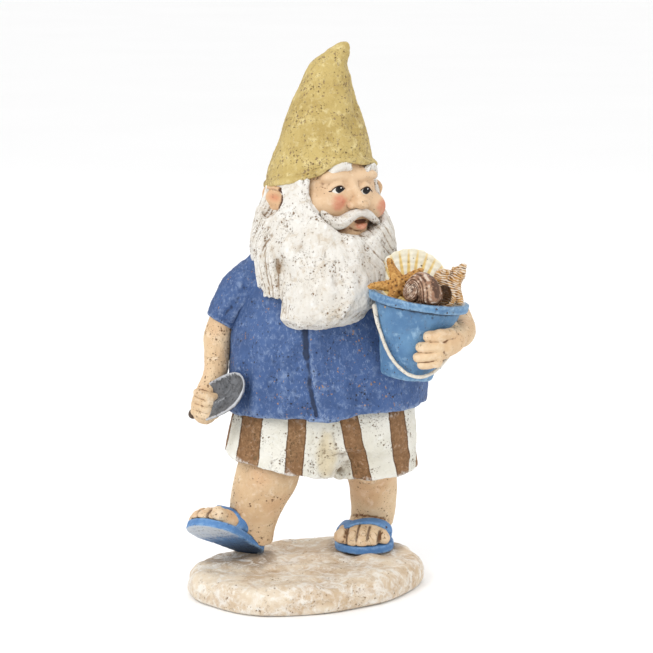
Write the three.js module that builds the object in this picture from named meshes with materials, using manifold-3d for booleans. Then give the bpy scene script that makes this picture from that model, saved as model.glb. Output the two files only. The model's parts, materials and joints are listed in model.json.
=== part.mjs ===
// Garden gnome: a cast figure walking across a mound of sand with a bucket of shells and a trowel.
// Millimetres, +Z up. The figure walks towards -Y and its left hand is on the +X side.
// Every casting of the figure is its own closed solid, seated in its neighbours with a small glue gap.

import * as THREE from 'three';
import { LoftGeometry } from 'three/addons/geometries/LoftGeometry.js';
import { mergeVertices } from 'three/addons/utils/BufferGeometryUtils.js';
import Module from 'manifold-3d';

const wasm = await Module();
wasm.setup();

// ---- Driving dimensions ----------------------------------------------------

const GLUE_GAP = 0.3;

const BASE_LONG = 145;
const BASE_SHORT = 111;
const BASE_TURN = THREE.MathUtils.degToRad(40);
const BASE_CENTRE = [2.2, 2.5];
const BASE_HEIGHT = 17.6;

const SOLE_THICKNESS = 4.8;
const SOLE_LENGTH = 51;
const SOLE_WIDTH = 35;
const STRAP_THICKNESS = 1.8;

const LEFT_HEEL = [41.5, 57, BASE_HEIGHT + GLUE_GAP];
const LEFT_HEADING = THREE.MathUtils.degToRad(-101);
const RIGHT_HEEL = [-27.5, 12, BASE_HEIGHT - 0.7];
const RIGHT_HEADING = THREE.MathUtils.degToRad(-145);
const RIGHT_TOE_LIFT = THREE.MathUtils.degToRad(28);
const RIGHT_ROLL = THREE.MathUtils.degToRad(6);

const PIN_RADIUS = 2;

const HEM_HEIGHT = 108;
const HEM_RECESS = 4;

const HEAD_CENTRE = [13, 8, 231];
const HEAD_TURN = THREE.MathUtils.degToRad(30);
const HAIR_PARTING = 24;

const BUCKET_FOOT = [57.5, -40, 133];
const BUCKET_LEAN = THREE.MathUtils.degToRad(9);
const BUCKET_HEIGHT = 46;
const BUCKET_FOOT_RADIUS = 14;
const BUCKET_TOP_RADIUS = 25;
const BUCKET_RIM_RADIUS = 28.2;
const BUCKET_RIM_DEPTH = 5;
const BUCKET_WALL = 2;
const FILL_DEPTH = 7;
const BAIL_RADIUS = 1.1;

// ---- Paints ----------------------------------------------------------------

const paint = (color, roughness = 0.75) => new THREE.MeshStandardMaterial({ color, roughness, metalness: 0 });

const PAINTS = {
  sand: paint(0xdecdb4, 0.9),
  sandal: paint(0x6996c8, 0.6),
  skin: paint(0xe8c8a0, 0.65),
  shorts: paint(0xeeeee4, 0.8),
  shirt: paint(0x4b69a0, 0.75),
  hair: paint(0xf0ece4, 0.85),
  hat: paint(0xd6be78, 0.85),
  bucket: paint(0x6496c3, 0.55),
  bail: paint(0xebe6dc, 0.5),
  wetSand: paint(0x9a7b55, 0.95),
  scallop: paint(0xfaf0c8, 0.6),
  starfish: paint(0xbe823c, 0.8),
  snail: paint(0x967364, 0.6),
  conch: paint(0xc89650, 0.7),
  trowel: new THREE.MeshStandardMaterial({ color: 0x6a6c70, roughness: 0.5, metalness: 0.6 }),
  handle: paint(0x5a4636, 0.8),
  steel: new THREE.MeshStandardMaterial({ color: 0x9a9da0, roughness: 0.4, metalness: 1 }),
};

// ---- Solids ----------------------------------------------------------------

// A closed three.js geometry as a solid that can be joined and cut.
function solid(geometry, matrix = new THREE.Matrix4()) {
  const bare = new THREE.BufferGeometry().copy(geometry);
  bare.deleteAttribute('normal');
  bare.deleteAttribute('uv');
  const merged = mergeVertices(bare.applyMatrix4(matrix), 1e-4);
  const vertProperties = new Float32Array(merged.attributes.position.array);
  const triVerts = new Uint32Array(merged.index.array);
  return new wasm.Manifold(new wasm.Mesh({ numProp: 3, vertProperties, triVerts }));
}

const join = (parts) => parts.reduce((whole, part) => whole.add(part));
const cut = (body, tools) => tools.reduce((rest, tool) => rest.subtract(tool), body);

// The largest closed piece of a cut solid, without the crumbs that a cut leaves beside it.
function largest(body) {
  return body.decompose().reduce((best, piece) => (piece.volume() > best.volume() ? piece : best));
}

// Stacked level rings. Each row is [z, centreX, centreY, halfWidth, halfDepth].
// Rows may slope by rise = [per mm of x, per mm of y]; grow swells the whole column.
function column(rows, { sides = 20, grow = 0, rise = [0, 0], square = 2 } = {}) {
  const last = rows.length - 1;
  const sections = rows.map(([z, cx, cy, a, b], i) => {
    const level = z + (i === last ? grow : 0) - (i === 0 ? grow : 0);
    return Array.from({ length: sides }, (_, k) => {
      const t = (k / sides) * Math.PI * 2;
      const x = Math.sign(Math.cos(t)) * Math.abs(Math.cos(t)) ** (2 / square) * (a + grow);
      const y = Math.sign(Math.sin(t)) * Math.abs(Math.sin(t)) ** (2 / square) * (b + grow);
      return new THREE.Vector3(cx + x, cy + y, level + x * rise[0] + y * rise[1]);
    });
  });
  return solid(new LoftGeometry(sections, { capStart: true, capEnd: true }));
}

// A round-ended limb along a smooth line. Each joint is [x, y, z, radius] or [x, y, z, radius, flatness],
// where flatness below 1 thins the limb across the given direction.
function limb(joints, { sides = 10, steps = 6, grow = 0, thin = new THREE.Vector3(0, 0, 1), dome = 2 } = {}) {
  const path = new THREE.CatmullRomCurve3(joints.map(([x, y, z]) => new THREE.Vector3(x, y, z)));
  const at = (list, t) => {
    const place = t * (list.length - 1);
    const low = Math.min(Math.floor(place), list.length - 2);
    return THREE.MathUtils.lerp(list[low], list[low + 1], place - low);
  };
  const radii = joints.map((joint) => joint[3] + grow);
  const flats = joints.map((joint) => joint[4] ?? 1);
  const stations = [];
  const end = (t, way) => {
    const order = Array.from({ length: dome }, (_, k) => ((k + 0.35) / dome) * (Math.PI / 2));
    for (const turn of way < 0 ? order : order.slice().reverse()) {
      stations.push({ t, slide: way * Math.cos(turn) * radii.at(t ? -1 : 0), shrink: Math.sin(turn) });
    }
  };
  end(0, -1);
  for (let k = 0; k <= steps; k++) stations.push({ t: k / steps, slide: 0, shrink: 1 });
  end(1, 1);
  const sections = stations.map(({ t, slide, shrink }) => {
    const along = path.getTangent(t).normalize();
    const flat = thin.clone().addScaledVector(along, -thin.dot(along)).normalize();
    const wide = new THREE.Vector3().crossVectors(flat, along);
    const centre = path.getPoint(t).addScaledVector(along, slide);
    const radius = at(radii, t) * shrink;
    return Array.from({ length: sides }, (_, k) => {
      const turn = (k / sides) * Math.PI * 2;
      return centre.clone()
        .addScaledVector(wide, Math.cos(turn) * radius)
        .addScaledVector(flat, Math.sin(turn) * radius * at(flats, t));
    });
  });
  return solid(new LoftGeometry(sections, { capStart: true, capEnd: true }));
}

// An ellipsoid with half-axes [a, b, c], placed by a matrix.
function egg(centre, halves, matrix = new THREE.Matrix4(), grow = 0, detail = 12) {
  const shape = new THREE.SphereGeometry(1, detail, Math.round(detail * 0.7));
  const sized = halves.map((half) => half + grow);
  const local = new THREE.Matrix4().makeTranslation(...centre).scale(new THREE.Vector3(...sized));
  return solid(shape, matrix.clone().multiply(local));
}

// A slab bounded by a plane through a point, filling the side that its normal points to.
function halfSpace(point, normal) {
  const reach = 400;
  const turn = new THREE.Quaternion().setFromUnitVectors(
    new THREE.Vector3(0, 0, 1), new THREE.Vector3(...normal).normalize());
  const place = new THREE.Matrix4().compose(new THREE.Vector3(...point), turn, new THREE.Vector3(1, 1, 1));
  const lift = new THREE.Matrix4().makeTranslation(0, 0, reach / 2);
  return solid(new THREE.BoxGeometry(reach, reach, reach), place.multiply(lift));
}

// A solid of revolution: profile points are [radius, height] from the axis and back to it.
function turned(profile, matrix, sides = 32) {
  const lathe = new THREE.LatheGeometry(profile.map(([r, h]) => new THREE.Vector2(r, h)), sides);
  const upright = new THREE.Matrix4().makeRotationX(Math.PI / 2);
  return solid(lathe, matrix.clone().multiply(upright));
}

// A frame at the heel, its x axis along a heading in plan, lifted at the toe and rolled to one side.
function footFrame(heel, heading, lift, roll) {
  return new THREE.Matrix4().makeTranslation(...heel)
    .multiply(new THREE.Matrix4().makeRotationZ(heading))
    .multiply(new THREE.Matrix4().makeRotationY(-lift))
    .multiply(new THREE.Matrix4().makeRotationX(roll));
}

// ---- Base ------------------------------------------------------------------

function baseBody() {
  const sides = 36;
  const profile = [[0, 0.975], [2.5, 1], [12, 1], [15.5, 0.975], [BASE_HEIGHT, 0.92]];
  const sections = profile.map(([z, scale]) => Array.from({ length: sides }, (_, k) => {
    const t = (k / sides) * Math.PI * 2;
    const full = 2 / 2.25;
    const wobble = 0.9 * Math.sin(3 * t + 0.6) + 0.6 * Math.sin(5 * t + 2);
    const x = Math.sign(Math.cos(t)) * Math.abs(Math.cos(t)) ** full * ((BASE_LONG / 2) * scale + wobble);
    const y = Math.sign(Math.sin(t)) * Math.abs(Math.sin(t)) ** full * ((BASE_SHORT / 2) * scale + wobble);
    const point = new THREE.Vector3(x, y, z).applyAxisAngle(new THREE.Vector3(0, 0, 1), BASE_TURN);
    return point.add(new THREE.Vector3(...BASE_CENTRE, 0));
  }));
  return solid(new LoftGeometry(sections, { capStart: true, capEnd: true }));
}

// ---- Feet ------------------------------------------------------------------
// Foot frame: +X from heel to toe, +Y to the figure's left, +Z up, origin under the heel.
// big is +1 where the big toe is on the +Y side and -1 where it is on the -Y side.

function soleShape(big, grow) {
  const half = SOLE_WIDTH / 2 + grow;
  const shape = new THREE.Shape();
  shape.moveTo(-grow, 0);
  shape.bezierCurveTo(-grow, -13 - grow, 12, -12 - grow, 20, (big < 0 ? -12.5 : -13.5) - grow);
  shape.bezierCurveTo(30, -half - 0.5, 36, -half, 40, -half);
  shape.bezierCurveTo(47, -half, SOLE_LENGTH + grow, -10, SOLE_LENGTH + grow, 0);
  shape.bezierCurveTo(SOLE_LENGTH + grow, 10, 47, half, 40, half);
  shape.bezierCurveTo(36, half, 30, half + 0.5, 20, (big < 0 ? 13.5 : 12.5) + grow);
  shape.bezierCurveTo(12, 12 + grow, -grow, 13 + grow, -grow, 0);
  return shape;
}

function soleBody(frame, big, grow = 0) {
  const options = { depth: SOLE_THICKNESS + 2 * grow, bevelEnabled: false, curveSegments: 6 };
  const lower = new THREE.Matrix4().makeTranslation(0, 0, -grow);
  return solid(new THREE.ExtrudeGeometry(soleShape(big, grow), options), frame.clone().multiply(lower));
}

function toes(frame, big, grow) {
  const top = SOLE_THICKNESS + GLUE_GAP;
  const toeList = [[11.8, 5, 48], [4.4, 3.6, 48.2], [-2, 3.5, 47.4], [-8, 3.5, 46], [-13.2, 3.6, 43.6]];
  return toeList.map(([side, radius, reach]) => {
    const root = new THREE.Vector3(34, big * side * 0.86, top + radius + 1.5).applyMatrix4(frame);
    const tip = new THREE.Vector3(reach - radius, big * side, top + radius).applyMatrix4(frame);
    const joints = [[...root.toArray(), radius + 0.6], [...tip.toArray(), radius]];
    return limb(joints, { sides: 7, steps: 1, grow, dome: 1 });
  });
}

// Foot without its toes: rings across the foot from heel to ball.
function footBody(frame, grow) {
  const top = SOLE_THICKNESS + GLUE_GAP;
  const rings = [
    [2, 6, 11], [5, 9.5, 17], [12, 11.5, 21], [20, 12.5, 19], [28, 14.2, 15.5], [35, 15, 11.5], [41, 14, 8.5],
  ];
  const sides = 14;
  const sections = rings.map(([x, half, high], i) => {
    const slide = (i === rings.length - 1 ? grow : 0) - (i === 0 ? grow : 0);
    return Array.from({ length: sides }, (_, k) => {
      const t = (k / sides) * Math.PI * 2;
      const y = Math.cos(t) * (half + grow);
      const z = top + high / 2 + Math.sin(t) * (high / 2 + grow);
      return new THREE.Vector3(x + slide, y, z).applyMatrix4(frame);
    });
  });
  return solid(new LoftGeometry(sections, { capStart: true, capEnd: true }));
}

// The strap is a band of even thickness over the foot, cut to a V from the toe post to the two sides.
function strapBody(frame, big) {
  const over = footBody(frame, GLUE_GAP + STRAP_THICKNESS).subtract(footBody(frame, GLUE_GAP));
  const post = big * 7.6;
  const side = 30;
  const arm = (way) => {
    const shape = new THREE.Shape();
    shape.moveTo(40.5, post - way * 2);
    shape.lineTo(40.5, post + way * 1.6);
    shape.lineTo(26, way * side);
    shape.lineTo(18, way * side);
    shape.lineTo(34.5, post);
    return shape;
  };
  const above = new THREE.Matrix4().makeTranslation(0, 0, SOLE_THICKNESS + GLUE_GAP);
  const bands = [-1, 1].map((way) => {
    const band = new THREE.ExtrudeGeometry(arm(way), { depth: 24, bevelEnabled: false });
    return solid(band, frame.clone().multiply(above));
  });
  return over.intersect(join(bands));
}

// ---- Legs ------------------------------------------------------------------

const RIGHT_LEG_ROWS = [
  [27, -29.5, 9, 10, 11], [36, -30, 7, 13, 13.5], [48, -27.5, 4.5, 16, 16], [60, -23.5, 2.5, 18.5, 18],
  [72, -20, 2.5, 19, 18.5], [86, -16, 4, 19, 18.5],
];
const LEFT_LEG_ROWS = [
  [27, 41, 45.5, 11, 11.5], [35, 41, 43, 13, 13], [48, 40.8, 37.5, 13.8, 14.5], [62, 39.5, 31.5, 15, 16],
  [74, 38, 27, 16, 16.5], [86, 36.5, 23.5, 16.5, 17],
];

function legBody(rows, frame, big, grow = 0) {
  return join([column(rows, { sides: 14, grow }), footBody(frame, grow), ...toes(frame, big, grow)]);
}

function pinBody(from, to, grow = 0) {
  const along = new THREE.Vector3(...to).sub(new THREE.Vector3(...from));
  const rod = new THREE.CylinderGeometry(PIN_RADIUS + grow, PIN_RADIUS + grow, along.length() + 2 * grow, 10);
  const upright = new THREE.Vector3(0, 1, 0);
  const turn = new THREE.Quaternion().setFromUnitVectors(upright, along.clone().normalize());
  const middle = new THREE.Vector3(...from).addScaledVector(along, 0.5);
  return solid(rod, new THREE.Matrix4().compose(middle, turn, new THREE.Vector3(1, 1, 1)));
}

// ---- Shorts and shirt ------------------------------------------------------

const SHORTS_RIGHT = {
  rows: [[74.5, -14, 3, 32.5, 29], [82, -13, 4, 31.8, 28.5], [94, -8, 7, 33.5, 30], [106, -2, 9, 36, 31]],
  rise: [-0.15, 0.02],
};
const SHORTS_LEFT = {
  rows: [[67.5, 40, 19, 26.8, 27], [75, 40, 18, 25.8, 27], [90, 36, 13, 27.5, 29], [106, 28, 11, 34, 31]],
  rise: [0.07, 0.05],
};
const WAIST_ROWS = [
  [84, 10, 10, 53.5, 31], [96, 10.5, 9.5, 53, 33], [108, 11.5, 9.5, 51, 34], [115, 12, 9.5, 47, 31],
];

function shortsBody(grow = 0) {
  const legs = [SHORTS_RIGHT, SHORTS_LEFT].map(({ rows, rise }) => column(rows, { grow, rise }));
  return join([...legs, column(WAIST_ROWS, { grow })]);
}

// The hollow inside each hem, which leaves a turned edge a few millimetres thick.
function shortsHems() {
  const wall = 3;
  return join([SHORTS_RIGHT, SHORTS_LEFT].map(({ rows, rise }) => {
    const [z, x, y, a, b] = rows[0];
    const low = [z - 6, x, y, a - wall, b - wall];
    const high = [z + HEM_RECESS, x, y, a - wall - 2, b - wall - 2];
    return column([low, high], { rise });
  }));
}

const SHIRT = {
  sides: 24,
  rise: [0.045, 0.01],
  square: 2.2,
};
const SHIRT_ROWS = [
  [HEM_HEIGHT, 13, 8.5, 57.7, 42], [115, 13.5, 8.5, 58.2, 42], [127, 13.5, 8.5, 57.5, 41],
  [141, 13, 9, 55.5, 40.5], [155, 12.6, 9.5, 53.3, 38.5], [170, 12.3, 10, 50, 35],
  [182, 12.5, 10.5, 45.5, 31], [191, 13, 10.5, 38, 27], [198, 13, 10, 28, 22], [203, 13, 9, 19, 17],
];

function shirtBody(grow = 0) {
  return column(SHIRT_ROWS, { ...SHIRT, grow }).add(placket(grow));
}

// The front edge of the left side of the shirt, lapped over the right side.
function placket(grow = 0) {
  const strip = [
    [10.5, -34.6, 110, 1.4], [9.8, -33.6, 125, 1.4], [8, -31.6, 142, 1.4], [5.5, -29.6, 157, 1.4],
  ];
  return limb(strip, { sides: 6, steps: 4, grow });
}

function hemHollow() {
  const [z, x, y, a, b] = SHIRT_ROWS[0];
  return column([[z - 8, x, y, a - 3, b - 3], [z + HEM_RECESS, x, y, a - 5, b - 5]], SHIRT);
}

const RIGHT_SLEEVE = [[-22, 11, 184, 14], [-35, 10, 176, 12.5], [-42.5, 8.5, 166, 11], [-48.3, 7, 156, 9.3]];
const LEFT_SLEEVE = [[46, 11, 184, 13.5], [58, 9, 179, 13], [70, 6, 172.5, 12]];

function sleeveBody(joints, grow = 0) {
  const tube = limb(joints, { sides: 14, steps: 4, grow });
  const end = joints.at(-1);
  const before = joints.at(-2);
  const along = [end[0] - before[0], end[1] - before[1], end[2] - before[2]];
  return tube.subtract(halfSpace(end, along));
}

// ---- Arms ------------------------------------------------------------------

const RIGHT_ARM = [
  [-42, 8.5, 168, 6.2], [-46.5, 7.5, 160, 7.3], [-49.3, 6, 150, 7.7], [-50.2, 4.5, 139, 7.5],
  [-51, 3, 129, 6.8], [-54, 1.5, 120, 6],
];

function rightArm(grow = 0) {
  const fist = [[-55.5, 0.5, 116, 7], [-57.2, -0.5, 109, 8.2], [-57, -1, 105, 7.2]];
  const hand = limb(fist, { sides: 10, steps: 2, grow });
  const slim = { sides: 6, steps: 3, grow, dome: 1 };
  const fingers = [106.5, 110.5, 114.5].map((z, i) => limb(
    [[-62 + i, -4, z + 1, 2.8], [-56.5 + i, -8.5, z, 3], [-51.5 + i, -4.5, z, 2.8]], slim));
  const thumb = limb([[-53, 3, 118, 3], [-50, -1.5, 116, 2.9], [-49, -4, 113, 2.7]], slim);
  return join([limb(RIGHT_ARM, { sides: 12, steps: 6, grow }), hand, ...fingers, thumb]);
}

const LEFT_ARM = [
  [62, 8, 177, 7.5], [72, 5.5, 172.5, 8.6], [81.5, 0, 165.5, 9.6], [87, -10, 158, 9.8],
  [88.5, -24, 156, 8.6], [87, -38, 157, 7],
];

function leftArm(grow = 0) {
  const palm = limb([[86, -42, 157, 6.8, 0.85], [82.5, -52, 155, 8, 0.8], [77, -58.5, 152, 8, 0.8]],
    { sides: 10, steps: 3, grow, thin: new THREE.Vector3(0.5, 0.86, 0) });
  const reach = [[159, 67.5, 3.4], [152.4, 63.2, 3.1], [147, 61.2, 2.9], [142.8, 63.5, 2.6]];
  const fingers = reach.map(([z, tip, radius]) => limb(
    [[80, -57.5, z, radius + 0.6], [72, -62, z, radius + 0.3], [tip, -61.3, z, radius]],
    { sides: 6, steps: 3, grow, dome: 1 }));
  return join([limb(LEFT_ARM, { sides: 12, steps: 7, grow }), palm, ...fingers]);
}

// ---- Trowel ----------------------------------------------------------------

const TROWEL_HANDLE = [[-63.6, 1.5, 103.8, 2.4], [-58, -3.5, 108.5, 2.2], [-55, -8, 112, 2]];

function trowelHandle(grow = 0) {
  return limb(TROWEL_HANDLE, { sides: 8, steps: 3, grow });
}

// A scooped plate: cross-sections bend round the trough and narrow to a rounded tip.
function trowelBlade() {
  const along = new THREE.Vector3(0.72, -0.53, 0.44).normalize();
  const across = new THREE.Vector3(0, 0.64, 0.77).normalize();
  const open = new THREE.Vector3().crossVectors(along, across);
  const back = new THREE.Vector3(-57, -11.5, 113.2);
  const stations = [[0, 11.5, 6.5], [8, 12, 6.5], [17, 11.5, 6], [23, 10, 5], [27.5, 7.4, 3.6], [30, 4, 2.2]];
  const bends = 7;
  const half = 0.8;
  const sections = stations.map(([s, width, depth]) => {
    const wall = (side) => Array.from({ length: bends + 1 }, (_, k) => {
      const turn = side * (0.5 - k / bends) * Math.PI * 0.9;
      const sunk = depth * (1 - Math.cos(turn)) - depth;
      return back.clone().addScaledVector(along, s)
        .addScaledVector(across, (width / Math.sin(Math.PI * 0.45)) * Math.sin(turn))
        .addScaledVector(open, sunk + side * half);
    });
    return [...wall(1), ...wall(-1)];
  });
  return solid(new LoftGeometry(sections, { capStart: true, capEnd: true }));
}

// ---- Bucket ----------------------------------------------------------------

const bucketFrame = new THREE.Matrix4().makeTranslation(...BUCKET_FOOT)
  .multiply(new THREE.Matrix4().makeRotationY(BUCKET_LEAN));

function bucketOutside(grow = 0) {
  const rimFoot = BUCKET_HEIGHT - BUCKET_RIM_DEPTH;
  return turned([
    [0, -grow], [BUCKET_FOOT_RADIUS + grow, -grow], [BUCKET_TOP_RADIUS - 1 + grow, rimFoot - grow],
    [BUCKET_RIM_RADIUS - 0.8 + grow, rimFoot - grow], [BUCKET_RIM_RADIUS + grow, BUCKET_HEIGHT + grow],
    [0, BUCKET_HEIGHT + grow],
  ], bucketFrame, 26);
}

function bucketInside(grow = 0, depth = 0) {
  const floor = 3;
  const wall = BUCKET_WALL + grow;
  const slope = (BUCKET_TOP_RADIUS - BUCKET_FOOT_RADIUS) / BUCKET_HEIGHT;
  const top = depth ? BUCKET_HEIGHT - depth : BUCKET_HEIGHT + 2;
  const low = BUCKET_FOOT_RADIUS - wall + slope * floor;
  const high = BUCKET_FOOT_RADIUS - wall + slope * top;
  const crown = top + (depth ? 1.5 : 0);
  return turned([[0, floor + grow], [low, floor + grow], [high, top], [0, crown]], bucketFrame, 26);
}

// The bail hangs forward from the rim and lies against the front of the bucket.
function bailBody(grow = 0) {
  const route = [
    [39.8, -43, 173.4], [41.6, -48.5, 163], [46, -54.2, 151.5], [51.5, -56.6, 143], [58, -57.2, 137.6],
    [65, -56.2, 135.8], [72.6, -53.2, 138.2], [79.6, -50.6, 145], [85.4, -47.5, 154.5], [88.4, -42.5, 165.6],
  ];
  const curve = new THREE.CatmullRomCurve3(route.map((point) => new THREE.Vector3(...point)));
  const section = new THREE.Shape();
  section.absarc(0, 0, BAIL_RADIUS + grow, 0, Math.PI * 2);
  return solid(new THREE.ExtrudeGeometry(section, { steps: 22, curveSegments: 2, extrudePath: curve }));
}

// ---- Shells ----------------------------------------------------------------

function scallopBody(grow = 0) {
  const place = new THREE.Matrix4().makeTranslation(59, -33, 168)
    .multiply(new THREE.Matrix4().makeRotationX(-0.22))
    .multiply(new THREE.Matrix4().makeRotationY(0.08));
  const ribs = 16;
  const spread = 1.12;
  const sections = [0.2, 0.5, 0.8, 1].map((s) => {
    const face = (side) => Array.from({ length: ribs + 1 }, (_, k) => {
      const turn = side * spread * ((2 * k) / ribs - 1);
      const reach = (35.5 + grow) * s * (0.82 + 0.18 * Math.cos(turn * 1.4));
      const dish = 6 * Math.sin(s * Math.PI * 0.62) * Math.cos(turn * 1.1);
      const rib = (k % 2 ? 0.5 : 0) * s;
      const width = 0.76;
      const front = -side * (0.9 + grow + rib) + dish;
      const point = new THREE.Vector3(Math.sin(turn) * reach * width, front, Math.cos(turn) * reach);
      return point.applyMatrix4(place);
    });
    return [...face(1), ...face(-1)];
  });
  return solid(new LoftGeometry(sections, { capStart: true, capEnd: true }));
}

function starfishBody(grow = 0) {
  const centre = [52.5, -49, 184.5];
  const tips = [
    [48.4, -40.5, 199], [36.6, -47, 184.6], [46, -57, 173.5], [60.5, -56, 176], [66.5, -42.5, 193],
  ];
  const arms = tips.map((tip) => {
    const half = centre.map((value, i) => value * 0.5 + tip[i] * 0.5 + (i === 1 ? -0.8 : 0));
    return limb([[...centre, 4.6, 0.7], [...half, 3.3, 0.8], [...tip, 1.2]],
      { sides: 6, steps: 2, grow, dome: 1, thin: new THREE.Vector3(0.1, 0.9, 0.4) });
  });
  return join(arms);
}

function snailBody(grow = 0) {
  const turn = new THREE.Matrix4().makeTranslation(66, -53, 181)
    .multiply(new THREE.Matrix4().makeRotationZ(-0.25));
  const body = egg([1.5, 0, 0], [10.5, 8.5, 9.6], turn, grow, 14);
  const whorl = egg([-5.5, -5, 1], [6.3, 4.5, 6.2], turn, grow, 10);
  const apex = egg([-6.3, -8, 1.6], [2.8, 2.6, 2.8], turn, grow, 8);
  return join([body, whorl, apex]);
}

function conchBody(grow = 0) {
  const place = new THREE.Matrix4().makeTranslation(80, -45, 170)
    .multiply(new THREE.Matrix4().makeRotationZ(-0.3))
    .multiply(new THREE.Matrix4().makeRotationY(0.42));
  const ridges = [[3.4, 4], [7.4, 10], [8.2, 15.5], [5.8, 19], [5.8, 22], [3.4, 25], [3.3, 27], [1.6, 29.4]];
  const spire = turned([[0, -grow], ...ridges.map(([r, h]) => [r + grow, h]), [0, 30.4 + grow]], place, 12);
  const lip = limb([[78, -50, 176, 3, 0.5], [76, -52, 184, 5.4, 0.5], [80, -48, 192, 4.6, 0.7]],
    { sides: 7, steps: 3, grow, thin: new THREE.Vector3(0.8, 0.5, 0) });
  return join([spire, lip]);
}

// ---- Head ------------------------------------------------------------------
// Head frame: +X to the figure's left, -Y out of the face, +Z up, origin at the middle of the skull.

const headFrame = new THREE.Matrix4().makeTranslation(...HEAD_CENTRE)
  .multiply(new THREE.Matrix4().makeRotationZ(HEAD_TURN));

function headBody(grow = 0) {
  const skull = egg([0, 0, 1], [29.5, 30, 32], headFrame, grow, 16);
  const cheeks = [-1, 1].map((side) => egg([side * 14, -21, -7], [10.5, 9, 8.5], headFrame, grow, 10));
  const nose = egg([0, -32.5, -5], [5.2, 5.6, 4.6], headFrame, grow, 8);
  const bridge = limb([[0, -27.5, 4, 3], [0, -31, -3, 3.6]].map(([x, y, z, r]) => {
    const place = new THREE.Vector3(x, y, z).applyMatrix4(headFrame);
    return [...place.toArray(), r];
  }), { sides: 8, steps: 1, grow });
  const mouth = egg([0, -24, -17], [10, 6, 7], headFrame, grow, 10);
  const neck = column([[196, 13, 9, 14, 14], [212, 13, 8.5, 17, 17]], { sides: 12, grow });
  return join([skull, ...cheeks, nose, bridge, mouth, neck]);
}

function earBody(side, grow = 0) {
  const tilt = headFrame.clone()
    .multiply(new THREE.Matrix4().makeTranslation(side * 33, 0.5, -1.5))
    .multiply(new THREE.Matrix4().makeRotationZ(side * -0.75));
  const lobe = egg([0, 0, 0], [3.8, 7.4, 8.8], tilt, grow, 10);
  const bowl = egg([side * 3.4, -1, 0.6], [2.6, 4.6, 5.8], tilt, 0, 8);
  return grow ? lobe : lobe.subtract(bowl);
}

// The shallow hollow that the hair leaves round each ear.
function earHollow(side) {
  return egg([side * 40, -3, -4], [11, 9, 11], headFrame, 0, 10);
}

function headLimb(joints, options) {
  const placed = joints.map(([x, y, z, ...rest]) => [
    ...new THREE.Vector3(x, y, z).applyMatrix4(headFrame).toArray(), ...rest]);
  return limb(placed, options);
}

function eyebrowBody(side) {
  const tuft = [
    [side * 5.5, -29.2, 14.5, 1.8], [side * 10.5, -27.8, 17.4, 2.9], [side * 16, -25.2, 14.6, 1.7],
  ];
  return headLimb(tuft, { sides: 7, steps: 3, dome: 1 });
}

function moustacheBody(grow = 0) {
  const wing = (side) => [
    [0, -34, -10.8, 3.2], [side * 7, -33.3, -11.4, 4.2], [side * 14.5, -29.6, -15, 4],
    [side * 21, -24.4, -13, 2.6], [side * 23.5, -22, -10, 1.3],
  ];
  return join([-1, 1].map((side) => headLimb(wing(side), { sides: 8, steps: 5, grow, dome: 1 })));
}

// Hair and beard are one flowing mass round the head, parted behind the ears.
const MANE_ROWS = [
  [157, 8, -24, 17, 15], [160.5, 8.5, -22, 23, 19.5], [168, 11.5, -16, 27, 27], [173, 11.5, -11, 35.5, 33],
  [183, 11.5, -3, 40.5, 39.5], [193, 11, 3, 41.8, 41.5], [203, 10.4, 4.5, 42.6, 42.5],
  [216, 9.8, 6.5, 39.2, 40.5], [232, 10.6, 8, 33.2, 35.5], [243, 12, 9, 31, 31],
];

function maneBody() {
  return column(MANE_ROWS);
}

// The oval opening in the mane through which the face shows.
function faceWindow() {
  const oval = new THREE.CylinderGeometry(1, 1, 50, 20);
  const place = headFrame.clone()
    .multiply(new THREE.Matrix4().makeTranslation(-1, -35, 1.5))
    .multiply(new THREE.Matrix4().makeScale(24.5, 1, 23.5));
  return solid(oval, place);
}

// ---- Hat -------------------------------------------------------------------

const HAT_PROFILE = [
  [225, 10.2, 10, 33.5, 35], [234, 10.4, 9.5, 32.2, 34], [242, 10.5, 9.5, 31.2, 32.5],
  [252, 10.6, 9.5, 28.8, 30], [266, 11.2, 9.8, 24.8, 25.5], [281, 12, 10, 20, 21], [292, 13, 10, 15.6, 16.5],
  [301, 14.6, 10, 12, 12], [307.5, 17, 10, 9.6, 9], [312.5, 20.2, 10, 6.6, 6.4], [316, 22.6, 10, 3.2, 3.4],
];
const BRIM_HEIGHT = 233.5;
const BRIM_ARCH = 20;

// Centre and half-axes of the hat at a height, between its profile rows.
function hatAt(z) {
  const above = Math.max(1, HAT_PROFILE.findIndex((row) => row[0] >= z));
  const [low, high] = [HAT_PROFILE[above - 1], HAT_PROFILE[above]];
  const part = THREE.MathUtils.clamp((z - low[0]) / (high[0] - low[0]), 0, 1);
  return low.map((value, i) => THREE.MathUtils.lerp(value, high[i], part));
}

// The brim arches up over the face, and each ring above it follows the arch less.
function hatBody(grow = 0) {
  const sides = 24;
  const levels = [
    [0, 1], [8, 0.82], [20, 0.5], [35, 0.16], [48, 0], [58, 0], [67, 0], [74, 0], [79, 0], [82.5, 0],
  ];
  const sections = levels.map(([lift, follow], i) => Array.from({ length: sides }, (_, k) => {
    const t = (k / sides) * Math.PI * 2;
    const ahead = Math.max(0, Math.cos(t - (HEAD_TURN - Math.PI / 2)));
    const end = i === 0 ? -grow : (i === levels.length - 1 ? grow : 0);
    const z = BRIM_HEIGHT + lift + BRIM_ARCH * follow * ahead ** 1.5 + end;
    const [, cx, cy, a, b] = hatAt(z);
    return new THREE.Vector3(cx + Math.cos(t) * (a + grow), cy + Math.sin(t) * (b + grow), z);
  }));
  return solid(new LoftGeometry(sections, { capStart: true, capEnd: true }));
}

// ---- Assembly --------------------------------------------------------------

const group = new THREE.Group();

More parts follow.
